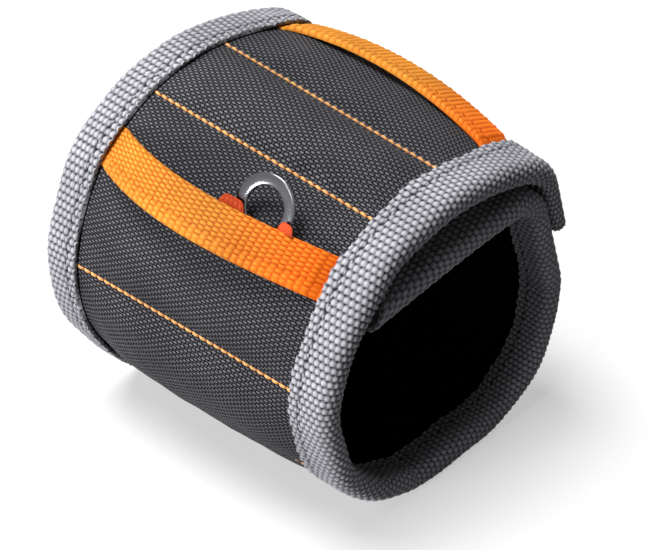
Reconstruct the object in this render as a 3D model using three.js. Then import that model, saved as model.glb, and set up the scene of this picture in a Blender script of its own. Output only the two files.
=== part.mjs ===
// A padded magnetic wristband, rolled up and closed on itself, resting on its flattened underside.
// Millimetres, +Z up. The band's width runs along X and its loop lies in the Y-Z plane. The +X rim is
// rolled a little tighter than the -X rim. The origin is on the resting surface, under the front arc.
import * as THREE from 'three';

const rad = THREE.MathUtils.degToRad;

// Width of the band and the way it is rolled
const BAND_WIDTH = 89;
const NEAR_SCALE = 0.945;
const FAR_SCALE = 1.055;
const SIDE_LEAN = 5.9;

// Loop, measured on the outer face of the binding at mid width
const LOOP_RADIUS = 46.8;
const REST_DROP = 2;
const REST_FILLET = 12;
const CROWN_RADIUS = 89;
const CROWN_DROOP = 18.3;
const SHOULDER_RADIUS = 16;
const CLOSURE_LEAN = 20;
const FLAP_TIP = 18;
const WALL_STRAIGHT = 6;
const TUCK_RADIUS = 18;
const TUCK_LEAD = 15;
const TUCK_CONTACT = 11;
const TUCK_CORNER_RADIUS = 14;
const TAIL_SLOPE = 3;
const TAIL_SLANT = 0.85;
const TAIL_SLANT_RUN = 18;

// Layers, from the outside in
const GAP = 0.3;
const BINDING = 0.9;
const BINDING_ROUND = 0.6;
const FLANGE = 10.5;
const INNER_FLANGE = 9.5;
const END_FLANGE = 5;
const COVER = 0.8;
const FOAM = 1.7;
const LINING = 0.7;
const THIN_END = 16;
const THIN_RAMP = 12;

// Quilting
const FLAP_SEAM_OFFSET = 3.6;
const TOP_POCKET = 23.3;
const FRONT_PANEL = 48.5;
const LOWER_POCKET = 36.2;
const BASE_POCKET = 28;
const BASE_POCKETS = 4;
const POCKET_CROWN = 2.6;
const POCKET_POWER = 4;
const FLOOR_SHARE = 0.8;
const CHANNEL = 1.2;
const FOLD_GAP = 0.4;
const THREAD_WIDTH = 0.7;
const THREAD_HEIGHT = 0.5;

// Magnets
const MAGNET_RADIUS = 5.5;
const MAGNET_THICKNESS = 1.2;
const MAGNET_PITCH = 19;
const MAGNETS_ACROSS = 3;
const FLAP_ROW = 12.5;
const FRONT_ROW = 30;

// Hook-and-loop closure
const PATCH = 1;
const PATCH_MARGIN = 2;
const HOOK_LENGTH = 24;
const LOOP_PATCH_LENGTH = 55;

// Webbing tool loops; the front one rises over the ring's pivot where it passes the ring's outer edge
const WEBBING_WIDTH = 11;
const WEBBING = 1.4;
const FRONT_LOOP_PLACE = 17.3;
const FRONT_LOOP_BOW = 2.4;
const FRONT_LOOP_RISE = 1.66;
const FLAP_LOOP_PLACE = 27.2;
const FLAP_LOOP_RISE = 3.6;
const ARCH_POWER = 2;

// Ring and its webbing tab
const RING_OUTER_RADIUS = 8;
const RING_INNER_RADIUS = 5;
const RING_THICKNESS = 1;
const RING_BEVEL = 0.2;
const RING_X = 14.3;
const RING_PLACE = 17.3;
const RING_TILT = 15;
const TAB = 0.5;
const TAB_WIDTH = 5;
const TAB_CLEARANCE = 0.4;
const TAB_ROUND = 0.5;

// Facets
const STATION_STEP = 5.6;
const STATION_LEAST = 0.5;
const COVER_COLUMNS = 7;
const WEBBING_COLUMNS = 14;
const WEBBING_ROWS = 4;
const TAB_SEGMENTS = 3;
const ROUND_SEGMENTS = 18;

// Edges across the width and levels through the thickness; level 0 is the binding's outer face
const rim = BAND_WIDTH / 2;
const flangeEdge = rim - FLANGE;
const innerFlangeEdge = rim - INNER_FLANGE;
const coreEdge = rim - BINDING - GAP;
const pocketEdge = flangeEdge - CHANNEL;
const coverTop = -(BINDING + GAP);
const coverBottom = coverTop - COVER;
const foamTop = coverBottom - GAP;
const foamBottom = foamTop - FOAM;
const webbingSeat = coverTop + GAP;

/** Smooth step from 0 to 1. */
const ease = (t) => THREE.MathUtils.smoothstep(t, 0, 1);

/** A path of straight runs and left-hand arcs in the Y-Z plane, read by the length along it. */
class LoopPath {
  constructor(y, z, heading) {
    this.runs = [];
    this.end = { y, z, heading };
    this.length = 0;
  }

  add(length, turn) {
    this.runs.push({ ...this.end, from: this.length, length, turn });
    this.length += length;
    this.end = this.at(this.length);
    return this;
  }

  straight(length) {
    return this.add(length, 0);
  }

  arc(radius, degrees) {
    return this.add(radius * rad(degrees), rad(degrees));
  }

  /** Point and heading at a length along the path; past its ends the path goes on as it was. */
  at(s) {
    const run = this.runs.findLast((r) => s >= r.from) ?? this.runs[0];
    const along = s - run.from;
    if (run.turn === 0) {
      const y = run.y + along * Math.cos(run.heading);
      const z = run.z + along * Math.sin(run.heading);
      return { y, z, heading: run.heading };
    }
    const radius = run.length / run.turn;
    const heading = run.heading + along / radius;
    const y = run.y + radius * (Math.sin(heading) - Math.sin(run.heading));
    const z = run.z - radius * (Math.cos(heading) - Math.cos(run.heading));
    return { y, z, heading };
  }

  joints() {
    return this.runs.map((run) => run.from);
  }
}

/** The padding under the lining's level, which thins out towards the closing flap's end. */
const fill = (s) => (FOAM + GAP) * ease((s - THIN_END) / THIN_RAMP);
const liningTop = (s) => foamTop - fill(s);
const liningBottom = (s) => liningTop(s) - LINING;
const thickness = (s) => -liningBottom(s) + GAP + BINDING;

// The flap, from its end over the shoulder to the crown of the loop
const closureHeading = rad(90 + CLOSURE_LEAN);
const addFlap = (path) =>
  path
    .straight(FLAP_TIP)
    .arc(SHOULDER_RADIUS, 90 - CLOSURE_LEAN - CROWN_DROOP)
    .arc(CROWN_RADIUS, CROWN_DROOP);
const frontCentre = LOOP_RADIUS - REST_DROP;
const flapShape = addFlap(new LoopPath(0, 0, closureHeading)).end;
const loop = addFlap(new LoopPath(-flapShape.y, frontCentre + LOOP_RADIUS - flapShape.z, closureHeading));
const crownPlace = loop.length;

// The tucked end runs beside the flap's end, a flap's thickness and the two patches inside it
const patchProud = PATCH + GAP - (BINDING + GAP);
const closureDepth = (thickness(0) + 2 * patchProud + GAP) / NEAR_SCALE;
const flapEnd = loop.at(0);
const tuckY = flapEnd.y - closureDepth * Math.sin(closureHeading) - TUCK_LEAD * Math.cos(closureHeading);
const tuckZ = flapEnd.z + closureDepth * Math.cos(closureHeading) - TUCK_LEAD * Math.sin(closureHeading);
const wallY = tuckY + TUCK_RADIUS * (1 - Math.sin(closureHeading));
const wallTop = tuckZ + TUCK_RADIUS * Math.cos(closureHeading);
const backRadius = wallTop - WALL_STRAIGHT;

// The front arc, the flat that the band rests on, the back wall and the tucked corner
const filletReach = Math.sqrt((LOOP_RADIUS - REST_FILLET) ** 2 - (frontCentre - REST_FILLET) ** 2);
const filletTurn = THREE.MathUtils.radToDeg(Math.asin(filletReach / (LOOP_RADIUS - REST_FILLET)));
const restWidth = wallY - backRadius + filletReach;
loop.arc(LOOP_RADIUS, 180 - filletTurn).arc(REST_FILLET, filletTurn).straight(restWidth);
loop.arc(backRadius, 90).straight(WALL_STRAIGHT).arc(TUCK_RADIUS, CLOSURE_LEAN);
const tuckPlace = loop.length;
loop.straight(TUCK_LEAD + TUCK_CONTACT).arc(TUCK_CORNER_RADIUS, 90 - CLOSURE_LEAN + TAIL_SLOPE);
const tailStart = loop.length;

/** Length of the flat tail, up to where it meets the front wall's inner face on the tighter rim. */
function tailReach() {
  const { y, z, heading } = loop.at(tailStart);
  const innerRadius = LOOP_RADIUS - (thickness(crownPlace) + 2 * GAP) / NEAR_SCALE;
  const up = z - frontCentre;
  const along = y * Math.cos(heading) + up * Math.sin(heading);
  return -along + Math.sqrt(along ** 2 - (y ** 2 + up ** 2 - innerRadius ** 2));
}
const tailEnd = tailStart + tailReach();
loop.straight(tailReach());

// Seams, as places along the band
const flapSeam = crownPlace - FLAP_SEAM_OFFSET;
const topSeam = flapSeam + TOP_POCKET;
const frontSeam = topSeam + FRONT_PANEL;
const lowerSeam = frontSeam + LOWER_POCKET;
const baseSeams = Array.from({ length: BASE_POCKETS + 1 }, (_, i) => lowerSeam + i * BASE_POCKET);
const flapPocketStart = FLAP_TIP;
const pockets = [
  [flapPocketStart, flapSeam],
  [flapSeam, topSeam],
  [topSeam, frontSeam],
  [frontSeam, lowerSeam],
  ...baseSeams.slice(1).map((seam) => [seam - BASE_POCKET, seam]),
].map(([from, to]) => [from + CHANNEL, to - CHANNEL]);

/** Roll of the band at a place across its width. */
const rollScale = (x) => THREE.MathUtils.mapLinear(x, -rim, rim, FAR_SCALE, NEAR_SCALE);

/** A point of the rolled band: s along it, x across it, h out from the binding's outer face. */
function bandPoint(s, x, h) {
  const slant = TAIL_SLANT * ease(1 - (tailEnd - s) / TAIL_SLANT_RUN);
  const { y, z, heading } = loop.at(s - slant * h);
  const scale = rollScale(x);
  const lean = (SIDE_LEAN * x) / BAND_WIDTH;
  return new THREE.Vector3(x, scale * y + lean + h * Math.sin(heading), scale * z - h * Math.cos(heading));
}

/** Matrix of the band's own axes at a point: across it, back along it and out of it. */
function bandFrame(s, x, h) {
  const origin = bandPoint(s, x, h);
  const across = bandPoint(s, x + 1, h).sub(bandPoint(s, x - 1, h)).normalize();
  const along = bandPoint(s + 1, x, h).sub(bandPoint(s - 1, x, h)).normalize();
  const out = new THREE.Vector3().crossVectors(along, across).normalize();
  const back = new THREE.Vector3().crossVectors(out, across);
  return new THREE.Matrix4().makeBasis(across, back, out).setPosition(origin);
}

const widthBulge = (x, power) => Math.max(0, 1 - Math.abs(x / pocketEdge) ** power);

/** Puff of a quilted pocket over the cover's flat level, pressed flat where the band rests. */
function puff(s, x) {
  const pocket = pockets.find(([from, to]) => s > from && s < to);
  if (!pocket) return 0;
  const share = (2 * s - pocket[0] - pocket[1]) / (pocket[1] - pocket[0]);
  const free = POCKET_CROWN * (1 - share ** POCKET_POWER) * widthBulge(x, POCKET_POWER);
  const clearOfFloor = -coverTop + FLOOR_SHARE * NEAR_SCALE * loop.at(s).z;
  return Math.min(free, clearOfFloor);
}

/** Places along the band for its facets: the path's joints, the pockets' edges and steps between. */
function stationsAlong(from, to) {
  const inner = [...loop.joints(), ...pockets.flat()];
  const marks = inner.filter((s) => s > from + STATION_LEAST && s < to - STATION_LEAST);
  marks.sort((a, b) => a - b);
  const places = [from];
  for (const mark of [...marks, to]) {
    const last = places.at(-1);
    if (mark - last < STATION_LEAST && mark !== to) continue;
    const steps = Math.ceil((mark - last) / STATION_STEP);
    for (let i = 1; i <= steps; i++) places.push(last + ((mark - last) * i) / steps);
  }
  return places;
}

const spread = (from, to, steps) =>
  Array.from({ length: steps + 1 }, (_, i) => from + ((to - from) * i) / steps);

/** Indexed geometry from points and triangles, turned so that its faces point out. */
function closedGeometry(points, triangles) {
  const volume = triangles.reduce((sum, [a, b, c]) => {
    const normal = new THREE.Vector3().crossVectors(points[b], points[c]);
    return sum + points[a].dot(normal);
  }, 0);
  const faces = volume > 0 ? triangles : triangles.map(([a, b, c]) => [a, c, b]);
  const geometry = new THREE.BufferGeometry().setFromPoints(points);
  geometry.setIndex(faces.flat());
  geometry.computeVertexNormals();
  return geometry;
}

/** A closed layer of the band between two level functions, on a grid of places along and across it. */
function layer(alongPlaces, acrossPlaces, bottom, top, place = (s) => s) {
  const points = [];
  const rows = alongPlaces.length;
  const columns = acrossPlaces.length;
  for (const level of [bottom, top]) {
    for (const s of alongPlaces) {
      for (const x of acrossPlaces) points.push(bandPoint(place(s, x), x, level(place(s, x), x)));
    }
  }
  const index = (face, i, j) => (face * rows + i) * columns + j;
  const triangles = [];
  const quad = (a, b, c, d) => triangles.push([a, b, c], [a, c, d]);
  for (let i = 0; i + 1 < rows; i++) {
    for (let j = 0; j + 1 < columns; j++) {
      quad(index(1, i, j), index(1, i + 1, j), index(1, i + 1, j + 1), index(1, i, j + 1));
      quad(index(0, i, j), index(0, i, j + 1), index(0, i + 1, j + 1), index(0, i + 1, j));
    }
    const last = columns - 1;
    quad(index(0, i, 0), index(0, i + 1, 0), index(1, i + 1, 0), index(1, i, 0));
    quad(index(0, i + 1, last), index(0, i, last), index(1, i, last), index(1, i + 1, last));
  }
  for (let j = 0; j + 1 < columns; j++) {
    const last = rows - 1;
    quad(index(0, 0, j + 1), index(0, 0, j), index(1, 0, j), index(1, 0, j + 1));
    quad(index(0, last, j), index(0, last, j + 1), index(1, last, j + 1), index(1, last, j));
  }
  return closedGeometry(points, triangles);
}

/** A folded tape: a closed outline in (depth, level) pairs, carried along its places by toBand. */
function foldedTape(places, outlineAt, toBand) {
  const outline = outlineAt(places[0]).map(([a, b]) => new THREE.Vector2(a, b));
  const ringAt = (place) => outlineAt(place).map(([a, b]) => bandPoint(...toBand(place, a, b)));
  const points = places.flatMap(ringAt);
  const count = outline.length;
  const triangles = [];
  for (let i = 0; i + 1 < places.length; i++) {
    for (let k = 0; k < count; k++) {
      const a = i * count + k;
      const b = i * count + ((k + 1) % count);
      triangles.push([a, b, b + count], [a, b + count, a + count]);
    }
  }
  const last = (places.length - 1) * count;
  const clockwise = THREE.ShapeUtils.isClockWise(outline);
  for (const [a, b, c] of THREE.ShapeUtils.triangulateShape(outline, [])) {
    const cap = clockwise ? [a, b, c] : [a, c, b];
    triangles.push(cap, cap.map((k) => last + k).reverse());
  }
  return closedGeometry(points, triangles);
}

/** Outline of binding tape folded over an edge, as depth in from the edge and level. */
function bindingOutline(s, outerFlange, innerFlange) {
  const bottom = -thickness(s);
  return [
    [outerFlange, 0],
    [BINDING_ROUND, 0],
    [0, -BINDING_ROUND],
    [0, bottom + BINDING_ROUND],
    [BINDING_ROUND, bottom],
    [innerFlange, bottom],
    [innerFlange, bottom + BINDING],
    [BINDING, bottom + BINDING],
    [BINDING, -BINDING],
    [outerFlange, -BINDING],
  ];
}

// Materials
const finish = (color, roughness, metalness = 0) =>
  new THREE.MeshStandardMaterial({ color, roughness, metalness });
const nylon = () => finish(0x26262a, 0.8);
const grey = () => finish(0x8f9096, 0.85);
const orange = () => finish(0xf47a20, 0.75);
const thread = () => finish(0xf0a050, 0.7);
const liningCloth = () => finish(0x121214, 0.9);
const padding = () => finish(0x3a3a3c, 0.95);
const hookLoop = () => finish(0x101012, 0.95);
const magnetSteel = () => finish(0x9a9da2, 0.35, 0.9);
const zinc = () => finish(0xc9ccd0, 0.2, 1);

const piece = (name, geometry, material) => {
  const mesh = new THREE.Mesh(geometry, material);
  mesh.name = name;
  return mesh;
};

/** Cover, padding, lining and the two rim bindings of one panel of the band. */
function panel(name, from, to, coverFrom, coverTo, foamFrom) {
  const group = new THREE.Group();
  const rimPlaces = stationsAlong(from, to);
  const corePlaces = stationsAlong(coverFrom, coverTo);
  const foamPlaces = stationsAlong(foamFrom, coverTo);
  const coreSides = [-coreEdge, coreEdge];
  const coverColumns = [-coreEdge, ...spread(-pocketEdge, pocketEdge, COVER_COLUMNS), coreEdge];
  const coverLevel = (level) => (s, x) => level + puff(s, x);
  const cover = layer(corePlaces, coverColumns, coverLevel(coverBottom), coverLevel(coverTop));
  const foam = layer(foamPlaces, coreSides, () => foamBottom, () => foamTop);
  const lining = layer(corePlaces, coreSides, liningBottom, liningTop);
  group.add(piece(`${name}_cover`, cover, nylon()));
  group.add(piece(`${name}_padding`, foam, padding()));
  group.add(piece(`${name}_lining`, lining, liningCloth()));
  for (const [rimName, side] of [['near', 1], ['far', -1]]) {
    const outline = (s) => bindingOutline(s, FLANGE, INNER_FLANGE);
    const tape = foldedTape(rimPlaces, outline, (s, depth, h) => [s, side * (rim - depth), h]);
    group.add(piece(`${name}_binding_${rimName}`, tape, grey()));
  }
  return group;
}

/** Binding across one end of the band; inward is +1 where the band goes on to larger places. */
function endBinding(name, end, inward) {
  const places = [-flangeEdge + GAP, flangeEdge - GAP];
  const outline = () => bindingOutline(end, END_FLANGE, END_FLANGE);
  return piece(name, foldedTape(places, outline, (x, depth, h) => [end + inward * depth, x, h]), grey());
}

/** A row of thread lying in a seam's channel. */
function threadRow(name, place) {
  const level = coverTop + GAP;
  const along = [place - THREAD_WIDTH / 2, place + THREAD_WIDTH / 2];
  const across = [-flangeEdge + GAP, flangeEdge - GAP];
  return piece(name, layer(along, across, () => level, () => level + THREAD_HEIGHT), thread());
}

/** A row of disc magnets on the padding, across the width. */
function magnetRow(name, place) {
  const group = new THREE.Group();
  for (let i = 0; i < MAGNETS_ACROSS; i++) {
    const x = (i - (MAGNETS_ACROSS - 1) / 2) * MAGNET_PITCH;
    const disc = new THREE.CylinderGeometry(MAGNET_RADIUS, MAGNET_RADIUS, MAGNET_THICKNESS, ROUND_SEGMENTS);
    disc.rotateX(Math.PI / 2);
    const mesh = piece(`${name}_magnet_${i + 1}`, disc, magnetSteel());
    mesh.applyMatrix4(bandFrame(place, x, foamTop + GAP + MAGNET_THICKNESS / 2));
    group.add(mesh);
  }
  return group;
}

/** A webbing loop that stands up off the cover between the two rim bindings. */
function toolLoop(name, place, bow, rise) {
  const along = spread(-WEBBING_WIDTH / 2, WEBBING_WIDTH / 2, WEBBING_ROWS);
  const across = spread(-flangeEdge + GAP, flangeEdge - GAP, WEBBING_COLUMNS);
  const under = (s, x) => webbingSeat + (rise - webbingSeat) * widthBulge(x, ARCH_POWER);
  const over = (s, x) => under(s, x) + WEBBING;
  const middle = (x) => place + bow * widthBulge(x, ARCH_POWER);
  const edge = (x, side) => bandPoint(middle(x) + (side * WEBBING_WIDTH) / 2, x, under(0, x));
  const widening = (x) => edge(x, -1).distanceTo(edge(x, 1)) / WEBBING_WIDTH;
  const laid = (v, x) => middle(x) + v / widening(x);
  return piece(name, layer(along, across, under, over, laid), orange());
}

/** Rounded rectangle in a shape's plane. */
function roundedRectangle(path, left, bottom, right, top, radius) {
  path.moveTo(left + radius, bottom);
  path.lineTo(right - radius, bottom).absarc(right - radius, bottom + radius, radius, -Math.PI / 2, 0);
  path.lineTo(right, top - radius).absarc(right - radius, top - radius, radius, 0, Math.PI / 2);
  path.lineTo(left + radius, top).absarc(left + radius, top - radius, radius, Math.PI / 2, Math.PI);
  path.lineTo(left, bottom + radius).absarc(left + radius, bottom + radius, radius, Math.PI, 1.5 * Math.PI);
  return path;
}

// Ring: its lower band is the pivot, held in the slot of the tab
const ringBand = RING_OUTER_RADIUS - RING_INNER_RADIUS;
const ringMiddle = (RING_OUTER_RADIUS + RING_INNER_RADIUS) / 2;
const bandRise = ringMiddle - Math.sqrt(ringMiddle ** 2 - (TAB_WIDTH / 2) ** 2);
const slotHeight = (ringBand + 2 * bandRise) * Math.sin(rad(RING_TILT)) + RING_THICKNESS + TAB_CLEARANCE;
const pivotPlace = topSeam + RING_PLACE;
const pivotLevel = coverTop + puff(pivotPlace, RING_X) + GAP + TAB + slotHeight / 2;
const pivotFrame = bandFrame(pivotPlace, RING_X, pivotLevel);
const ringPass = pivotLevel + FRONT_LOOP_RISE - webbingSeat;
const frontLoopRise = webbingSeat + ringPass / widthBulge(RING_X + RING_OUTER_RADIUS, ARCH_POWER);

/** Flat steel ring, tipped out off the cover. */
function ring() {
  const shape = new THREE.Shape().absarc(0, ringMiddle, RING_OUTER_RADIUS, 0, 2 * Math.PI);
  shape.holes.push(new THREE.Path().absarc(0, ringMiddle, RING_INNER_RADIUS, 0, 2 * Math.PI));
  const geometry = new THREE.ExtrudeGeometry(shape, {
    depth: RING_THICKNESS - 2 * RING_BEVEL,
    bevelThickness: RING_BEVEL,
    bevelSize: RING_BEVEL,
    bevelOffset: -RING_BEVEL,
    bevelSegments: 1,
    curveSegments: 2 * ROUND_SEGMENTS,
  });
  geometry.translate(0, 0, RING_BEVEL - RING_THICKNESS / 2);
  geometry.rotateX(rad(RING_TILT));
  const mesh = piece('tool_ring', geometry, zinc());
  mesh.applyMatrix4(pivotFrame);
  return mesh;
}

/** Webbing tab looped round the ring's lower band and sewn down under the front tool loop. */
function ringTab() {
  const low = -ringBand / 2 - TAB_CLEARANCE;
  const high = ringBand / 2 + bandRise + TAB_CLEARANCE;
  const outer = [low - TAB, -slotHeight / 2 - TAB, high + TAB, slotHeight / 2 + TAB];
  const shape = roundedRectangle(new THREE.Shape(), ...outer, TAB_ROUND);
  shape.holes.push(roundedRectangle(new THREE.Path(), low, -slotHeight / 2, high, slotHeight / 2, TAB_ROUND));
  const extrusion = { depth: TAB_WIDTH, bevelEnabled: false, curveSegments: TAB_SEGMENTS };
  const geometry = new THREE.ExtrudeGeometry(shape, extrusion);
  geometry.translate(0, 0, -TAB_WIDTH / 2);
  const turn = new THREE.Matrix4().makeBasis(
    new THREE.Vector3(0, 1, 0),
    new THREE.Vector3(0, 0, 1),
    new THREE.Vector3(1, 0, 0),
  );
  geometry.applyMatrix4(turn);
  const mesh = piece('ring_tab', geometry, orange());
  mesh.applyMatrix4(pivotFrame);
  return mesh;
}

const halfFold = FOLD_GAP / 2;
const endClear = BINDING + GAP;
const threadInset = halfFold + THREAD_WIDTH / 2;
const patchSide = innerFlangeEdge - PATCH_MARGIN;
const patchSides = [-patchSide, patchSide];
const wristband = new THREE.Group();

// Closing flap, with its hook tape and tool loop
const flapTo = flapSeam - halfFold;
const flap = panel('flap', 0, flapTo, endClear, flapTo, THIN_END + THIN_RAMP);
flap.add(endBinding('flap_binding_end', 0, 1));
flap.add(threadRow('flap_seam_thread', flapSeam - threadInset));
flap.add(magnetRow('flap', flapSeam - FLAP_ROW));
flap.add(toolLoop('flap_tool_loop', crownPlace - FLAP_LOOP_PLACE, 0, FLAP_LOOP_RISE));
const hookPlaces = stationsAlong(END_FLANGE + GAP, END_FLANGE + GAP + HOOK_LENGTH);
const hookTop = (s) => liningBottom(s) - GAP;
const hook = layer(hookPlaces, patchSides, (s) => hookTop(s) - PATCH, hookTop);
flap.add(piece('hook_tape', hook, hookLoop()));
wristband.add(flap);

// Top pocket
const topFrom = flapSeam + halfFold;
const topPanel = panel('top', topFrom, topSeam - halfFold, topFrom, topSeam - halfFold, topFrom);
topPanel.add(threadRow('top_seam_thread', topSeam - threadInset));
topPanel.add(magnetRow('top', topSeam - TOP_POCKET / 2));
wristband.add(topPanel);

// Front panel, with its tool loop and the ring in its tab
const frontFrom = topSeam + halfFold;
const front = panel('front', frontFrom, frontSeam - halfFold, frontFrom, frontSeam - halfFold, frontFrom);
front.add(threadRow('front_seam_thread', frontSeam - threadInset));
front.add(magnetRow('front', topSeam + FRONT_ROW));
front.add(toolLoop('front_tool_loop', topSeam + FRONT_LOOP_PLACE, FRONT_LOOP_BOW, frontLoopRise));
front.add(ringTab());
wristband.add(front);
wristband.add(ring());

// The rest of the band: bottom, back wall and tucked end, with its loop patch
const baseFrom = frontSeam + halfFold;
const base = panel('base', baseFrom, tailEnd, baseFrom, tailEnd - endClear, baseFrom);
base.add(endBinding('base_binding_end', tailEnd, -1));
baseSeams.forEach((seam, i) => base.add(threadRow(`base_seam_thread_${i + 1}`, seam)));
base.add(magnetRow('lower', frontSeam + LOWER_POCKET / 2));
base.add(magnetRow('back', baseSeams[3] + BASE_POCKET / 2));
const patchFrom = tuckPlace + TUCK_LEAD / 2;
const patchLevel = () => coverTop + GAP;
const patchTop = () => coverTop + GAP + PATCH;
const patchPlaces = stationsAlong(patchFrom, patchFrom + LOOP_PATCH_LENGTH);
const loopPatch = layer(patchPlaces, patchSides, patchLevel, patchTop);
base.add(piece('loop_patch', loopPatch, hookLoop()));
wristband.add(base);

export default wristband;
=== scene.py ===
"""Magnetic wristband, rolled up and closed on itself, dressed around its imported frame.

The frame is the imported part's own: X runs across the band, Y from the front panel towards the closing
flap's end, and Z up, with the origin on the resting surface. Sizes are in millimetres until a point is
placed, which turns it into metres.
"""
from __future__ import annotations

import logging
import math
from dataclasses import dataclass
from enum import Enum
from typing import Sequence

import bpy
import numpy as np
from mathutils import Matrix, Vector


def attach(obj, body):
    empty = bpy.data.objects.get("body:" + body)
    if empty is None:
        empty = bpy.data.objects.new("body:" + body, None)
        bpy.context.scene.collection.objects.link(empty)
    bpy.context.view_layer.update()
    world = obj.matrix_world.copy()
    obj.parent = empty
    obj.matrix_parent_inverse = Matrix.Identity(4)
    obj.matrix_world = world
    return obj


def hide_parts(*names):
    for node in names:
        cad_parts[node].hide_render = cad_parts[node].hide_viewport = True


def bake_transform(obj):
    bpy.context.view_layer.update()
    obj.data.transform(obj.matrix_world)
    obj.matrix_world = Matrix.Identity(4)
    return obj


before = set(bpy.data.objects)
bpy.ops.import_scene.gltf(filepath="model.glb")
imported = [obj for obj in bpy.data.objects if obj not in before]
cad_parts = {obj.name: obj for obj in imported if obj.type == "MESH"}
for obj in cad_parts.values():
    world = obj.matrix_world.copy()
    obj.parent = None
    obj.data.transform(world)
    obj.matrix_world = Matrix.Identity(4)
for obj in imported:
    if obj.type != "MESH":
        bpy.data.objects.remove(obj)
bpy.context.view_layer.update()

MM = 0.001
UV_UNIT = 100.0
TINY = 1e-6
SHARP_ANGLE = math.radians(75)
WHITE = (1.0, 1.0, 1.0, 1.0)
log = logging.getLogger("wristband")
Arrays = tuple[np.ndarray, ...]
Colour = tuple[float, float, float]
Grain = tuple[np.ndarray, list[list[int]]]
Socket = bpy.types.NodeSocket


class Body(str, Enum):
    """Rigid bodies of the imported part."""

    BASE = "band_base"
    FRONT = "front_panel"
    TOP = "top_panel"
    FLAP = "closure_flap"
    RING = "tool_ring"


class Slot(str, Enum):
    """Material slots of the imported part."""

    COVER = "cover"
    BINDING = "binding"
    WEBBING = "webbing"
    THREAD = "thread"
    LINING = "lining"
    HOOK_LOOP = "hook_loop"
    RING = "ring"


class SocketKind(str, Enum):
    """Kinds of sockets that the shared node groups have."""

    VALUE = "NodeSocketFloat"
    VECTOR = "NodeSocketVector"


class Rim(Enum):
    """The two long edges of the band, by the sign of X."""

    NEAR = 1
    FAR = -1


def ease(share: np.ndarray) -> np.ndarray:
    """Smooth step from 0 to 1 over a share that is clipped to that range."""
    t = np.clip(share, 0.0, 1.0)
    return t * t * (3 - 2 * t)


def even_steps(start: float, end: float, step: float) -> np.ndarray:
    """Evenly spread values from start to end, no further apart than step."""
    return np.linspace(start, end, max(1, math.ceil((end - start) / step)) + 1)


def beads(
    u: np.ndarray, v: np.ndarray, pitch_u: float, pitch_v: float, joined: float = 0.0
) -> np.ndarray:
    """Height of a staggered bead weave, from 0 in the gaps to 1 on the beads.

    Args:
        u: Places along the rows of beads, in millimetres.
        v: Places across the rows, in millimetres.
        pitch_u: Length of a bead along its row.
        pitch_v: Width of a row.
        joined: Share by which neighbours run together, so that only the corners stay deep.

    Returns:
        The heights, in the shape that u and v share.
    """
    row = np.floor(v / pitch_v + TINY)
    along = 2 * np.mod(u / pitch_u + 0.5 * np.mod(row, 2), 1) - 1
    across = 2 * (v / pitch_v - row) - 1
    bell_u, bell_v = 1 - along**2, 1 - across**2
    apart = np.sqrt(np.clip(bell_u * bell_v, 0, 1))
    return apart + joined * ((bell_u + bell_v) / 2 - apart)


@dataclass(frozen=True)
class Wave:
    """A sine over cloth: radians a millimetre along it and across it, its phase and its height."""

    along: float
    across: float = 0.0
    phase: float = 0.0
    height: float = 1.0

    def at(self, s: np.ndarray, x: np.ndarray | float = 0.0) -> np.ndarray:
        """Value at places along and across the cloth."""
        return self.height * np.sin(self.along * s + self.across * x + self.phase)


class LoopPath:
    """A path of straight runs and left-hand arcs in the Y-Z plane, read by the length along it."""

    def __init__(self, y: float, z: float, heading: float) -> None:
        """Starts the path.

        Args:
            y: Y of its first point, in millimetres.
            z: Z of its first point.
            heading: Heading there, in radians.
        """
        self.runs: list[tuple[float, ...]] = []
        self.end = (y, z, heading)
        self.length = 0.0

    def add(self, length: float, turn: float) -> LoopPath:
        """Adds a run.

        Args:
            length: Its length, in millimetres.
            turn: Angle that it turns by, in radians.

        Returns:
            The path itself.
        """
        self.runs.append((self.length, turn / length, *self.end))
        self.length += length
        self.end = tuple(float(value) for value in self.at(np.array(self.length)))
        return self

    def straight(self, length: float) -> LoopPath:
        """Adds a straight run."""
        return self.add(length, 0.0)

    def arc(self, radius: float, degrees: float) -> LoopPath:
        """Adds a left-hand arc."""
        return self.add(radius * math.radians(degrees), math.radians(degrees))

    def at(self, s: np.ndarray) -> Arrays:
        """Point and heading at lengths along the path.

        Args:
            s: Lengths along the path, in millimetres.

        Returns:
            Y, Z and the heading in radians, each in the shape of s.
        """
        runs = np.array(self.runs)
        index = np.clip(np.searchsorted(runs[:, 0], s, side="right") - 1, 0, len(runs) - 1)
        start, bend, y, z, heading = np.moveaxis(runs[index], -1, 0)
        along = s - start
        curved = np.abs(bend) > TINY
        radius = 1 / np.where(curved, bend, 1.0)
        turned = heading + along * bend
        arc_y = y + radius * (np.sin(turned) - np.sin(heading))
        arc_z = z - radius * (np.cos(turned) - np.cos(heading))
        line_y = y + along * np.cos(heading)
        line_z = z + along * np.sin(heading)
        return np.where(curved, arc_y, line_y), np.where(curved, arc_z, line_z), turned


@dataclass(frozen=True)
class Fold:
    """A seam that folds: its place along the band, and the bodies before and after it."""

    seam: float
    before: Body
    after: Body


@dataclass(frozen=True)
class Stretch:
    """A stretch of the band made as one piece of cloth, with the fold that it crosses."""

    name: str
    start: float
    end: float
    fold: Fold | None


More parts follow.
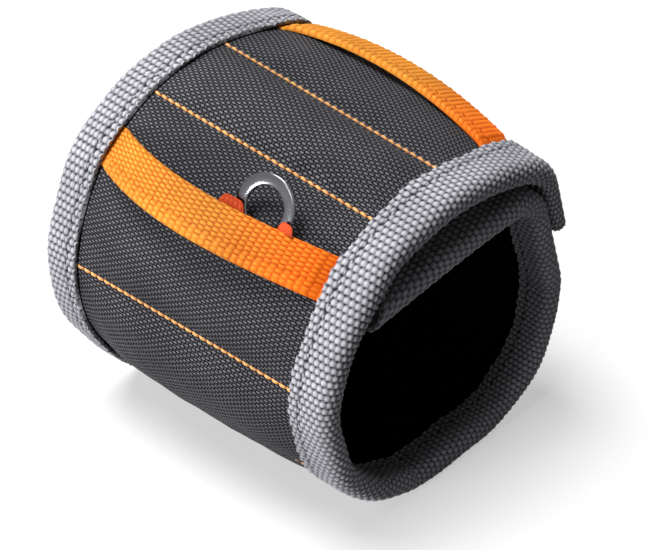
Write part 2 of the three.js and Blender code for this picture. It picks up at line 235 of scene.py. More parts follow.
@dataclass
class RolledBand:
    """The rolled band: its path, layers and seams. Level 0 is the binding's outer face."""

    width: float = 89.0
    near_scale: float = 0.945
    far_scale: float = 1.055
    side_lean: float = 5.9
    loop_radius: float = 46.8
    rest_drop: float = 2.0
    rest_fillet: float = 12.0
    crown_radius: float = 89.0
    crown_droop: float = 18.3
    shoulder_radius: float = 16.0
    closure_lean: float = 20.0
    flap_tip: float = 18.0
    wall_straight: float = 6.0
    tuck_radius: float = 18.0
    tuck_lead: float = 15.0
    tuck_contact: float = 11.0
    tuck_corner_radius: float = 14.0
    tail_slope: float = 3.0
    tail_slant: float = 0.85
    tail_slant_run: float = 18.0
    gap: float = 0.3
    binding: float = 0.9
    flange: float = 10.5
    inner_flange: float = 9.5
    end_flange: float = 5.0
    cover: float = 0.8
    foam: float = 1.7
    lining: float = 0.7
    thin_end: float = 16.0
    thin_ramp: float = 12.0
    patch: float = 1.0
    flap_seam_offset: float = 3.6
    top_pocket: float = 23.3
    front_panel: float = 48.5
    lower_pocket: float = 36.2
    base_pocket: float = 28.0
    base_pockets: int = 4
    pocket_crown: float = 2.6
    pocket_power: float = 4.0
    floor_share: float = 0.8
    channel: float = 1.2
    bead_pitch: float = 1.88
    front_cut: float = 18.5
    front_loop_offset: float = 17.3
    flap_loop_offset: float = 27.2
    fold_reach: float = 5.0
    tail_sag: float = 3.6
    tail_stretch: float = 2.2
    tail_far_share: float = 0.35
    limp_ease: float = 20.0
    limp_power: float = 3.0
    limp_waves: tuple[Wave, ...] = (Wave(1 / 6.5, 0.9, 0.0, 0.375), Wave(1 / 3.7, 2.0, 1.0, 0.225))
    floor_gap: float = 0.02

    def __post_init__(self) -> None:
        """Works out the path, the seams and the stretches from the sizes."""
        self.rim = self.width / 2
        self.flange_edge = self.rim - self.flange
        self.core_edge = self.rim - self.binding - self.gap
        self.pocket_edge = self.flange_edge - self.channel
        self.cover_top = -(self.binding + self.gap)
        self.foam_top = self.cover_top - self.cover - self.gap
        self.path = self.rolled_path()
        self.flap_seam = self.crown - self.flap_seam_offset
        self.top_seam = self.flap_seam + self.top_pocket
        self.front_seam = self.top_seam + self.front_panel
        self.lower_seam = self.front_seam + self.lower_pocket
        steps = range(self.base_pockets + 1)
        self.base_seams = [self.lower_seam + i * self.base_pocket for i in steps]
        seams = [self.flap_tip, self.flap_seam, self.top_seam, self.front_seam, *self.base_seams]
        self.pockets = [(a + self.channel, b - self.channel) for a, b in zip(seams, seams[1:])]
        self.stretches = self.cloth_stretches()

    def add_flap(self, path: LoopPath) -> LoopPath:
        """Adds the closing flap's runs, from its end to the crown.

        Args:
            path: The path that they are added to.

        Returns:
            The same path.
        """
        path.straight(self.flap_tip)
        path.arc(self.shoulder_radius, 90 - self.closure_lean - self.crown_droop)
        return path.arc(self.crown_radius, self.crown_droop)

    def rolled_path(self) -> LoopPath:
        """Lays the path of the rolled band, and notes where its crown, tuck and tail are.

        Returns:
            The path, from the flap's end to the tucked end.
        """
        heading = math.radians(90 + self.closure_lean)
        centre = self.loop_radius - self.rest_drop
        flap_y, flap_z, _ = self.add_flap(LoopPath(0, 0, heading)).end
        start = (-flap_y, centre + self.loop_radius - flap_z)
        path = self.add_flap(LoopPath(*start, heading))
        self.crown = path.length
        proud = self.patch + self.gap - (self.binding + self.gap)
        depth = (float(self.thickness(np.array(0.0))) + 2 * proud + self.gap) / self.near_scale
        tuck_y = start[0] - depth * math.sin(heading) - self.tuck_lead * math.cos(heading)
        tuck_z = start[1] + depth * math.cos(heading) - self.tuck_lead * math.sin(heading)
        wall_y = tuck_y + self.tuck_radius * (1 - math.sin(heading))
        back_radius = tuck_z + self.tuck_radius * math.cos(heading) - self.wall_straight
        swing = self.loop_radius - self.rest_fillet
        reach = math.sqrt(swing**2 - (centre - self.rest_fillet) ** 2)
        turn = math.degrees(math.asin(reach / swing))
        path.arc(self.loop_radius, 180 - turn).arc(self.rest_fillet, turn)
        path.straight(wall_y - back_radius + reach)
        path.arc(back_radius, 90).straight(self.wall_straight).arc(self.tuck_radius, self.closure_lean)
        self.tuck = path.length
        path.straight(self.tuck_lead + self.tuck_contact)
        path.arc(self.tuck_corner_radius, 90 - self.closure_lean + self.tail_slope)
        self.tail_start = path.length
        y, z, heading = path.end
        wall = float(self.thickness(np.array(self.crown))) + 2 * self.gap
        inner = self.loop_radius - wall / self.near_scale
        along = y * math.cos(heading) + (z - centre) * math.sin(heading)
        path.straight(-along + math.sqrt(along**2 - (y**2 + (z - centre) ** 2 - inner**2)))
        self.tail_end = path.length
        return path

    def cloth_stretches(self) -> list[Stretch]:
        """Cuts the cloth between the seams that fold, at whole beads of the binding.

        Returns:
            The stretches, from the flap's end on.
        """
        places = (self.flap_seam + self.top_pocket / 2, self.top_seam + self.front_cut, self.lower_seam)
        top_cut, front_cut, base_cut = (round(s / self.bead_pitch) * self.bead_pitch for s in places)
        return [
            Stretch("flap", 0.0, top_cut, Fold(self.flap_seam, Body.FLAP, Body.TOP)),
            Stretch("top", top_cut, front_cut, Fold(self.top_seam, Body.TOP, Body.FRONT)),
            Stretch("front", front_cut, base_cut, Fold(self.front_seam, Body.FRONT, Body.BASE)),
            Stretch("base", base_cut, self.tail_end, None),
        ]

    def lining_top(self, s: np.ndarray) -> np.ndarray:
        """Level of the lining's outer face; the padding over it thins out towards the flap's end."""
        return self.foam_top - (self.foam + self.gap) * ease((s - self.thin_end) / self.thin_ramp)

    def thickness(self, s: np.ndarray) -> np.ndarray:
        """Thickness of the bound edge."""
        return -self.lining_top(s) + self.lining + self.gap + self.binding

    def point(self, s: np.ndarray, x: np.ndarray, h: np.ndarray) -> np.ndarray:
        """Points of the rolled band, in metres.

        Args:
            s: Places along the band, in millimetres.
            x: Places across it.
            h: Levels out from the binding's outer face.

        Returns:
            The points, with X, Y and Z along the last axis.
        """
        s, x, h = np.broadcast_arrays(*(np.asarray(value, float) for value in (s, x, h)))
        rims = (-self.rim, self.rim)
        slant = self.tail_slant * ease(1 - (self.tail_end - s) / self.tail_slant_run)
        tail = np.clip((s - self.tail_start) / (self.tail_end - self.tail_start), 0, 1) ** 2
        tail = tail * np.interp(x, rims, (self.tail_far_share, 1.0))
        y, z, heading = self.path.at(s + self.tail_stretch * tail - slant * h)
        h = h - self.tail_sag * tail + self.limp(s, x)
        scale = np.interp(x, rims, (self.far_scale, self.near_scale))
        lean = self.side_lean * x / self.width
        rolled_y = scale * y + lean + h * np.sin(heading)
        rolled_z = np.maximum(scale * z - h * np.cos(heading), self.floor_gap)
        return np.stack((x, rolled_y, rolled_z), axis=-1) * MM

    def limp(self, s: np.ndarray, x: np.ndarray) -> np.ndarray:
        """Slow in and out of the limp rims, away from the closure.

        Args:
            s: Places along the band.
            x: Places across it.

        Returns:
            The rise at each place, which grows towards the rims.
        """
        free = ease((s - self.flap_seam) / self.limp_ease) * ease((self.tuck - s) / self.limp_ease)
        wave = sum(part.at(s, np.sign(x)) for part in self.limp_waves)
        return free * np.abs(x / self.rim) ** self.limp_power * wave

    def bulge(self, x: np.ndarray, power: float) -> np.ndarray:
        """Share of a crown at places across the band, which falls to 0 at the pockets' edges."""
        return np.maximum(0.0, 1 - np.abs(x / self.pocket_edge) ** power)

    def puff(self, s: np.ndarray, x: np.ndarray) -> np.ndarray:
        """Puff of the quilted pockets over the cover's flat level, pressed flat where the band rests.

        Args:
            s: Places along the band.
            x: Places across it.

        Returns:
            The rise at each place.
        """
        s, x = np.broadcast_arrays(np.asarray(s, float), np.asarray(x, float))
        crown = np.zeros(s.shape)
        for start, end in self.pockets:
            share = np.clip((2 * s - start - end) / (end - start), -1, 1)
            inside = (s > start) & (s < end)
            crown = np.where(inside, 1 - np.abs(share) ** self.pocket_power, crown)
        free = self.pocket_crown * crown * self.bulge(x, self.pocket_power)
        floor = -self.cover_top + self.floor_share * self.near_scale * self.path.at(s)[1]
        return np.minimum(free, floor)

    def frame_at(self, s: float, x: float, h: float) -> Matrix:
        """The band's own axes at a point.

        Args:
            s: Place along the band.
            x: Place across it.
            h: Level out from the binding's outer face.

        Returns:
            Matrix with its origin there and its axes across the band, back along it and out of it.
        """
        across = Vector(self.point(s, x + 1, h) - self.point(s, x - 1, h)).normalized()
        along = Vector(self.point(s + 1, x, h) - self.point(s - 1, x, h)).normalized()
        out = along.cross(across).normalized()
        back = out.cross(across)
        turn = Matrix((across, back, out)).transposed().to_4x4()
        return Matrix.Translation(Vector(self.point(s, x, h))) @ turn

    def fasten(self, piece: bpy.types.Object, fold: Fold | None) -> None:
        """Fixes a piece to the base where there is no fold; a piece that crosses a fold only has its
        transform baked, and is not bent.

        Args:
            piece: The piece to fasten.
            fold: The fold that it crosses.
        """
        if fold is None:
            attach(piece, Body.BASE.value)
            return
        near, far = (self.point(fold.seam, rim.value * self.rim, 0) for rim in Rim)
        axis = Vector(near - far).normalized()
        along = Vector(self.point(fold.seam + 1, 0, 0) - self.point(fold.seam - 1, 0, 0))
        along = (along - along.dot(axis) * axis).normalized() * self.fold_reach * MM
        middle = Vector(self.point(fold.seam, 0, 0))
        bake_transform(piece)


@dataclass(frozen=True)
class Stitch:
    """One stitch: a swelling of thread that leans a little and dives in at both ends."""

    length: float
    width: float
    height: float
    lean: float = 0.12
    dive: float = 0.6
    segments: int = 10
    rings: int = 9

    def grain(self) -> Grain:
        """Models the stitch once, to be copied.

        Returns:
            Points as length, width and height in millimetres, and the faces.
        """
        bpy.ops.object.select_all(action="DESELECT")
        bpy.ops.mesh.primitive_uv_sphere_add(segments=self.segments, ring_count=self.rings, radius=0.5)
        swelling = bpy.context.object
        bpy.ops.object.mode_set(mode="EDIT")
        bpy.ops.mesh.select_all(action="SELECT")
        bpy.ops.transform.resize(value=(self.width, self.height, self.length))
        bpy.ops.object.mode_set(mode="OBJECT")
        points = np.array([vertex.co for vertex in swelling.data.vertices])
        faces = [list(polygon.vertices) for polygon in swelling.data.polygons]
        bpy.data.objects.remove(swelling)
        side, up, along = points.T
        sunk = self.height * (2 * along / self.length) ** 2
        return np.stack((along, side + self.lean * along, up - self.dive * sunk), axis=-1), faces


class MeshShop:
    """Turns arrays of points into finished mesh objects."""

    @staticmethod
    def build(
        name: str,
        points: np.ndarray,
        faces: Sequence[Sequence[int]],
        uv: np.ndarray,
        relief_shade: np.ndarray,
    ) -> bpy.types.Object:
        """Makes an object out of points and faces.

        Args:
            name: Name of the piece.
            points: Points in metres, one row each.
            faces: Corner numbers of each face.
            uv: Place on the cloth of each point, in millimetres.
            relief_shade: Height in the weave of each point from 0 to 1, with painted shade in grooves
                and folds; the materials paint it as highlights on crests and shade in gaps.

        Returns:
            The new object, at the origin.
        """
        mesh = bpy.data.meshes.new(name)
        mesh.from_pydata(points.tolist(), [], faces)
        corners = np.empty(len(mesh.loops), np.int32)
        mesh.loops.foreach_get("vertex_index", corners)
        layer = mesh.uv_layers.new(name="UVMap")
        layer.data.foreach_set("uv", (uv[corners] / UV_UNIT).astype(np.float32).ravel())
        attribute = mesh.attributes.new("relief_shade", "FLOAT", "POINT")
        attribute.data.foreach_set("value", relief_shade.astype(np.float32))
        mesh.shade_smooth()
        mesh.set_sharp_from_angle(angle=SHARP_ANGLE)
        piece = bpy.data.objects.new(name, mesh)
        bpy.context.scene.collection.objects.link(piece)
        return piece

    @staticmethod
    def loft(name: str, loops: np.ndarray, uv: np.ndarray, relief_shade: np.ndarray) -> bpy.types.Object:
        """Makes a closed piece out of rows of closed outlines.

        Args:
            name: Name of the piece.
            loops: Points in metres, by row, by place round the outline.
            uv: Place on the cloth of each point, in millimetres.
            relief_shade: Height in the weave of each point, with its painted shade, which the materials
                paint as light and shade.

        Returns:
            The new object, with its faces pointing out.
        """
        rows, count, _ = loops.shape
        row = np.arange(rows - 1)[:, None] * count
        here = np.arange(count)[None, :]
        after = (here + 1) % count
        corners = (row + here, row + after, row + after + count, row + here + count)
        quads = np.stack(corners, axis=-1).reshape(-1, 4)
        points = loops.reshape(-1, 3)
        first_cap = list(range(count))[::-1]
        last_cap = list(range((rows - 1) * count, rows * count))
        faces = [*quads.tolist(), first_cap, last_cap]
        middle = points.mean(axis=0)
        a, b, c, d = (points[quads[:, k]] - middle for k in range(4))
        volume = np.einsum("ij,ij->", a, np.cross(b, c)) + np.einsum("ij,ij->", a, np.cross(c, d))
        if volume < 0:
            faces = [face[::-1] for face in faces]
        return MeshShop.build(name, points, faces, uv.reshape(-1, 2), relief_shade.reshape(-1))

    @staticmethod
    def strew(name: str, grain: Grain, places: Sequence[np.ndarray]) -> bpy.types.Object:
        """Makes one object out of placed copies of a stitch.

        Args:
            name: Name of the piece.
            grain: The stitch's points and faces.
            places: The copies' points in metres, in the stitch's order.

        Returns:
            The new object. All copies are turned together, so mirrored ones among them face inwards.
        """
        shape, faces = grain
        count = len(shape)
        points = np.concatenate(places)
        copied = [[k + i * count for k in face] for i in range(len(places)) for face in faces]
        length = np.abs(shape[:, 0]).max()
        # Painted light: each stitch is painted lighter at its middle and darker at its ends, where it
        # dives into the cloth and shade falls.
        relief_shade = np.tile(1 - (shape[:, 0] / length) ** 2, len(places))
        uv = np.tile(shape[:, :2], (len(places), 1))
        a, b, c = (points[[face[k] for face in copied]] for k in range(3))
        turned = np.cross(b - a, c - a)
        hearts = np.repeat([place.mean(axis=0) for place in places], len(faces), axis=0)
        if np.einsum("ij,ij->", turned, a - hearts) < 0:
            copied = [face[::-1] for face in copied]
        return MeshShop.build(name, points, copied, uv, relief_shade)


class Wiring:
    """Short-hand for adding and joining the nodes of one tree."""

    def __init__(self, tree: bpy.types.NodeTree) -> None:
        """Takes the tree to work in."""
        self.tree = tree

    def add(self, kind: str, **settings: object) -> bpy.types.Node:
        """Adds a node.

        Args:
            kind: Its type.
            settings: Its properties.

        Returns:
            The new node.
        """
        node = self.tree.nodes.new(kind)
        for name, value in settings.items():
            setattr(node, name, value)
        return node

    def feed(self, target: Socket, value: Socket | float | Sequence[float]) -> None:
        """Joins a socket to a target, or sets the target's own value.

        Args:
            target: The input to feed.
            value: An output, or a plain value.
        """
        if isinstance(value, Socket):
            self.tree.links.new(value, target)
        else:
            target.default_value = value

    def feed_all(self, node: bpy.types.Node, **values: Socket | float | Sequence[float]) -> None:
        """Feeds a node's inputs by name, with _ for a space."""
        for name, value in values.items():
            self.feed(node.inputs[name.replace("_", " ")], value)

    def calc(self, operation: str, *values: Socket | float) -> Socket:
        """Adds a Math node.

        Args:
            operation: What it works out.
            values: Its inputs, in order.

        Returns:
            Its output.
        """
        node = self.add("ShaderNodeMath", operation=operation)
        for target, value in zip(node.inputs, values):
            self.feed(target, value)
        return node.outputs[0]

    def group(self, made: bpy.types.NodeTree, **values: Socket | float) -> Socket:
        """Places a node group.

        Args:
            made: The group.
            values: Its inputs by name.

        Returns:
            Its output.
        """
        node = self.add("ShaderNodeGroup", node_tree=made)
        self.feed_all(node, **values)
        return node.outputs[0]

    def spread(self, value: Socket, **ends: Socket | float) -> Socket:
        """Adds a Map Range node.

        Args:
            value: The value to map.
            ends: The ends of its range and of the new one, by the node's own names.

        Returns:
            The mapped value.
        """
        node = self.add("ShaderNodeMapRange")
        self.feed_all(node, Value=value, **ends)
        return node.outputs[0]

    def tint(self, colour: Socket, by: Socket | Sequence[float], share: Socket | float) -> Socket:
        """Adds a Mix node that multiplies a colour by another.

        Args:
            colour: The colour to tint.
            by: The other colour.
            share: Share of the change.

        Returns:
            The tinted colour.
        """
        node = self.add("ShaderNodeMix", data_type="RGBA", blend_type="MULTIPLY")
        self.feed(node.inputs["Factor"], share)
        self.feed(node.inputs[6], colour)
        self.feed(node.inputs[7], by)
        return node.outputs[2]

    def ramp(self, value: Socket, stops: Sequence[tuple[float, Colour]]) -> Socket:
        """Adds a colour ramp.

        Args:
            value: The value that the colours follow.
            stops: Shares of it with their colours.

        Returns:
            The colour.
        """
        node = self.add("ShaderNodeValToRGB")
        elements = node.color_ramp.elements
        while len(elements) < len(stops):
            elements.new(0.5)
        for element, (share, colour) in zip(elements, stops):
            element.position = share
            element.color = (*colour, 1.0)
        self.feed(node.inputs[0], value)
        return node.outputs[0]

    def bump(self, shader: bpy.types.Node, height: Socket, depth: float, strength: float) -> None:
        """Adds a Bump node to a shader.

        Args:
            shader: The shader whose normal it feeds.
            height: The height, from 0 to 1.
            depth: Depth that a height of 1 stands for, in millimetres.
            strength: Strength of the bump.
        """
        node = self.add("ShaderNodeBump")
        self.feed_all(node, Height=height, Distance=depth * MM, Strength=strength)
        self.feed(shader.inputs["Normal"], node.outputs[0])


def blank_material(name: str) -> tuple[bpy.types.Material, Wiring, bpy.types.Node]:
    """Makes a material to be wired.

    Args:
        name: Its name.

    Returns:
        The material, its wiring and its shader.
    """
    made = bpy.data.materials.new(name)
    made.use_nodes = True
    return made, Wiring(made.node_tree), made.node_tree.nodes["Principled BSDF"]


@dataclass
class SharedEffects:
    """Shader node groups that more than one finish uses, each built once."""

    yarn_crown: float = 0.4
    mottle_detail: float = 3.0
    mottle_low: float = 0.3
    mottle_high: float = 0.7

    def __post_init__(self) -> None:
        """Builds the groups."""
        self.weave = self.plain_weave()
        self.mottle = self.soft_mottle()

    @staticmethod
    def start(
        name: str, output: str, **inputs: SocketKind
    ) -> tuple[Wiring, bpy.types.NodeOutputs, Socket]:
        """Starts a group with named sockets.

        Args:
            name: Name of the group.
            output: Name of its one output, a value.
            inputs: Names and kinds of its inputs.

        Returns:
            The group's wiring, the sockets that bring its inputs, and the one that takes its output.
        """
        tree = bpy.data.node_groups.new(name, "ShaderNodeTree")
        for label, kind in inputs.items():
            tree.interface.new_socket(label, in_out="INPUT", socket_type=kind.value)
        tree.interface.new_socket(output, in_out="OUTPUT", socket_type=SocketKind.VALUE.value)
        wiring = Wiring(tree)
        return wiring, wiring.add("NodeGroupInput").outputs, wiring.add("NodeGroupOutput").inputs[0]

    def plain_weave(self) -> bpy.types.NodeTree:
        """Height of a plain weave, where yarns of both ways take turns on top.

        Returns:
            The group.
        """
        value = SocketKind.VALUE
        wiring, given, height = self.start(
            "plain_weave", "Height", Vector=SocketKind.VECTOR, Along=value, Across=value, Warp=value
        )
        split = wiring.add("ShaderNodeSeparateXYZ")
        wiring.feed(split.inputs[0], given["Vector"])
        cells, bells = [], []
        for axis, pitch in ((0, "Along"), (1, "Across")):
            scaled = wiring.calc("DIVIDE", split.outputs[axis], given[pitch])
            cells.append(wiring.calc("FLOOR", scaled))
            centred = wiring.calc("MULTIPLY_ADD", wiring.calc("FRACT", scaled), 2.0, -1.0)
            bells.append(wiring.calc("SUBTRACT", 1.0, wiring.calc("MULTIPLY", centred, centred)))
        turn = wiring.calc("FLOORED_MODULO", wiring.calc("ADD", *cells), 2.0)
        level = 1.0 - self.yarn_crown
        swell = [wiring.calc("MULTIPLY_ADD", bell, self.yarn_crown, level) for bell in bells]
        warp = wiring.calc("MULTIPLY", wiring.calc("MULTIPLY", bells[1], swell[0]), given["Warp"])
        weft = wiring.calc("MULTIPLY", bells[0], swell[1])
        change = wiring.calc("MULTIPLY", turn, wiring.calc("SUBTRACT", weft, warp))
        wiring.feed(height, wiring.calc("ADD", warp, change))
        return wiring.tree

    def soft_mottle(self) -> bpy.types.NodeTree:
        """Slow change from a low value to a high one over the piece, as of handled cloth.

        Returns:
            The group.
        """
        value = SocketKind.VALUE
        wiring, given, mottled = self.start("soft_mottle", "Value", Scale=value, Low=value, High=value)
        place = wiring.add("ShaderNodeTexCoord")
        noise = wiring.add("ShaderNodeTexNoise")
        wiring.feed_all(
            noise, Vector=place.outputs["Object"], Scale=given["Scale"], Detail=self.mottle_detail
        )
        spread = wiring.spread(
            noise.outputs[0],
            From_Min=self.mottle_low,
            From_Max=self.mottle_high,
            To_Min=given["Low"],
            To_Max=given["High"],
        )
        wiring.feed(mottled, spread)
        return wiring.tree


@dataclass(frozen=True)
class ClothFinish:
    """A woven finish: its colours from the gaps up to the yarn's crest, its weave and its gloss. Its
    colours are painted light: a painted highlight on the crests and painted shade in the gaps.

    Where relief_shade is true the colours follow the height modelled in the piece, with its painted
    shade, and the weave is only the fine twist of the yarn. Otherwise the weave gives both.
    """

    name: str
    stops: tuple[tuple[float, Colour], ...]
    pitch_along: float
    pitch_across: float
    depth: float
    roughness: float
    relief_shade: bool = True
    specular: float = 0.25
    warp: float = 1.0
    mottle_scale: float = 60.0
    mottle_low: float = 0.82
    mottle_high: float = 1.12
    # Painted light: the tint, and the span along the cloth over which the colour turns to it.
    painted_light_tint: Colour = (1.0, 1.0, 1.0)
    painted_light_start: float = 0.0
    painted_light_end: float = 1.0

    def material(self, effects: SharedEffects) -> bpy.types.Material:
        """Builds the material.

        Args:
            effects: The shared node groups.

        Returns:
            The new material.
        """
        made, wiring, shader = blank_material(self.name)
        cloth = wiring.add("ShaderNodeUVMap", uv_map="UVMap").outputs[0]
        weave = wiring.group(
            effects.weave,
            Vector=cloth,
            Along=self.pitch_along / UV_UNIT,
            Across=self.pitch_across / UV_UNIT,
            Warp=self.warp,
        )
        shade = weave
        if self.relief_shade:
            shade = wiring.add("ShaderNodeAttribute", attribute_name="relief_shade").outputs["Fac"]
        worn = wiring.group(
            effects.mottle, Scale=self.mottle_scale, Low=self.mottle_low, High=self.mottle_high
        )
        # Painted light: the ramp paints highlights on the yarn's crests and shade in its gaps.
        colour = wiring.tint(wiring.ramp(shade, self.stops), worn, 1.0)
        # The colour is then tinted along the cloth as painted light.
        wiring.feed(shader.inputs["Base Color"], self.paint_light_along(wiring, cloth, colour))
        wiring.bump(shader, weave, self.depth, 1.0)
        shader.inputs["Roughness"].default_value = self.roughness
        shader.inputs["Specular IOR Level"].default_value = self.specular
        return made

    def paint_light_along(self, wiring: Wiring, cloth: Socket, colour: Socket) -> Socket:
        """Paints light along the cloth: tints a colour towards a redder, deeper one over part of its
        length, standing in for how the light falls off along the strip.

        Args:
            wiring: The material's wiring.
            cloth: Place on the cloth.
            colour: The colour to tint.

        Returns:
            The colour with its painted light.
        """
        split = wiring.add("ShaderNodeSeparateXYZ")
        wiring.feed(split.inputs[0], cloth)
        start, end = self.painted_light_start / UV_UNIT, self.painted_light_end / UV_UNIT
        share = wiring.spread(split.outputs[0], From_Min=start, From_Max=end)
        return wiring.tint(colour, (*self.painted_light_tint, 1.0), share)


@dataclass(frozen=True)
class SteelFinish:
    """A plated steel finish with faint handling marks."""

    name: str
    colour: Colour
    rough_low: float
    rough_high: float
    rough_scale: float = 260.0
    mark_scale: float = 900.0
    mark_depth: float = 0.02
    mark_strength: float = 0.06

    def material(self, effects: SharedEffects) -> bpy.types.Material:
        """Builds the material.

        Args:
            effects: The shared node groups.

        Returns:
            The new material.
        """
        made, wiring, shader = blank_material(self.name)
        shader.inputs["Metallic"].default_value = 1.0
        shader.inputs["Base Color"].default_value = (*self.colour, 1.0)
        rough = wiring.group(
            effects.mottle, Scale=self.rough_scale, Low=self.rough_low, High=self.rough_high
        )
        wiring.feed(shader.inputs["Roughness"], rough)
        marks = wiring.group(effects.mottle, Scale=self.mark_scale, Low=0.0, High=1.0)
        wiring.bump(shader, marks, self.mark_depth, self.mark_strength)
        return made


Finish = ClothFinish | SteelFinish

# Painted light: the nylon's highlights are painted into its crest colour, and its gaps are painted near
# black as shade.
NYLON = ClothFinish(
    "black_nylon",
    (
        (0.0, (0.001, 0.001, 0.001)),
        (0.24, (0.0035, 0.0035, 0.004)),
        (0.46, (0.044, 0.044, 0.049)),
        (1.0, (0.155, 0.155, 0.172)),
    ),
    pitch_along=0.68,
    pitch_across=1.1,
    depth=0.25,
    roughness=0.5,
    relief_shade=False,
    specular=0.02,
    warp=0.5,
)
# Painted light: the tape's gaps are painted dark as shade, and its crests light as highlight.
TAPE = ClothFinish(
    "grey_tape",
    (
        (0.0, (0.01, 0.01, 0.012)),
        (0.28, (0.042, 0.042, 0.047)),
        (0.56, (0.2, 0.2, 0.219)),
        (1.0, (0.47, 0.47, 0.51)),
    ),
    pitch_along=0.42,
    pitch_across=0.3,
    depth=0.05,
    roughness=0.62,
    specular=0.03,
)
WEBBING = ClothFinish(
    "orange_webbing",
    ((0.0, (0.3, 0.05, 0.003)), (0.45, (0.51, 0.165, 0.016)), (1.0, (0.64, 0.275, 0.036))),
    pitch_along=0.4,
    pitch_across=0.26,
    depth=0.04,
    roughness=0.6,
    specular=0.1,
    # Painted light: the strip's right end is tinted redder, standing in for the light that falls off
    # where it slopes away.
    painted_light_tint=(1.5, 0.78, 0.4),
    painted_light_start=8.0,
    painted_light_end=31.0,
)
# Painted shade: the orange webbing again, deeper and redder, for the tab that lies in shade beside the
# ring.
TAB_WEBBING_PAINTED_SHADE = ClothFinish(
    "deep_orange_webbing",
    ((0.0, (0.22, 0.014, 0.003)), (0.5, (0.5, 0.045, 0.006)), (1.0, (0.66, 0.085, 0.012))),
    pitch_along=0.5,
    pitch_across=0.4,
    depth=0.08,
    roughness=0.65,
)
THREAD = ClothFinish(
    "orange_thread",
    ((0.0, (0.2, 0.05, 0.008)), (0.5, (0.6, 0.23, 0.05)), (1.0, (0.76, 0.41, 0.16))),
    pitch_along=0.45,
    pitch_across=0.3,
    depth=0.08,
    roughness=0.5,
)
GREY_THREAD = ClothFinish(
    "grey_thread",
    ((0.0, (0.04, 0.04, 0.045)), (0.5, (0.14, 0.14, 0.152)), (1.0, (0.34, 0.34, 0.365))),
    pitch_along=0.45,
    pitch_across=0.3,
    depth=0.06,
    roughness=0.6,
)
LINING_CLOTH = ClothFinish(
    "black_lining",
    ((0.0, (0.001, 0.001, 0.001)), (1.0, (0.006, 0.006, 0.007))),
    pitch_along=0.7,
    pitch_across=0.7,
    depth=0.12,
    roughness=0.9,
    relief_shade=False,
    specular=0.0,
)
PILE = ClothFinish(
    "black_pile",
    ((0.0, (0.001, 0.001, 0.001)), (1.0, (0.014, 0.014, 0.016))),
    pitch_along=0.5,
    pitch_across=0.5,
    depth=0.1,
    roughness=0.8,
)
# Painted shade: the base colour is far darker than plated steel's, so that the ring reflects its bright
# surroundings as a dim grey.
ZINC_DIM_REFLECTION = SteelFinish("zinc_plate", (0.125, 0.125, 0.135), rough_low=0.14, rough_high=0.2)
PLATED_MAGNET = SteelFinish("plated_magnet", (0.5, 0.5, 0.53), rough_low=0.3, rough_high=0.5)


class Wardrobe:
    """The finishes as materials, each made once."""

    def __init__(self) -> None:
        """Builds the shared effects."""
        self.effects = SharedEffects()
        self.made: dict[str, bpy.types.Material] = {}

    def material(self, finish: Finish) -> bpy.types.Material:
        """The material of a finish, which is built when it is first asked for.

        Args:
            finish: The finish.

        Returns:
            Its material.
        """
        if finish.name not in self.made:
            self.made[finish.name] = finish.material(self.effects)
        return self.made[finish.name]

    def dress(self, piece: bpy.types.Object, finish: Finish, slot: Slot, *nodes: str) -> None:
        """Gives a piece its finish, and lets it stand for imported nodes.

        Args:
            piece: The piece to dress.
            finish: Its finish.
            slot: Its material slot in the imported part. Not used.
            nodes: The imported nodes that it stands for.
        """
        piece.data.materials.append(self.material(finish))
        if nodes:
            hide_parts(*nodes)
        log.info("%s: %d faces", piece.name, len(piece.data.polygons))


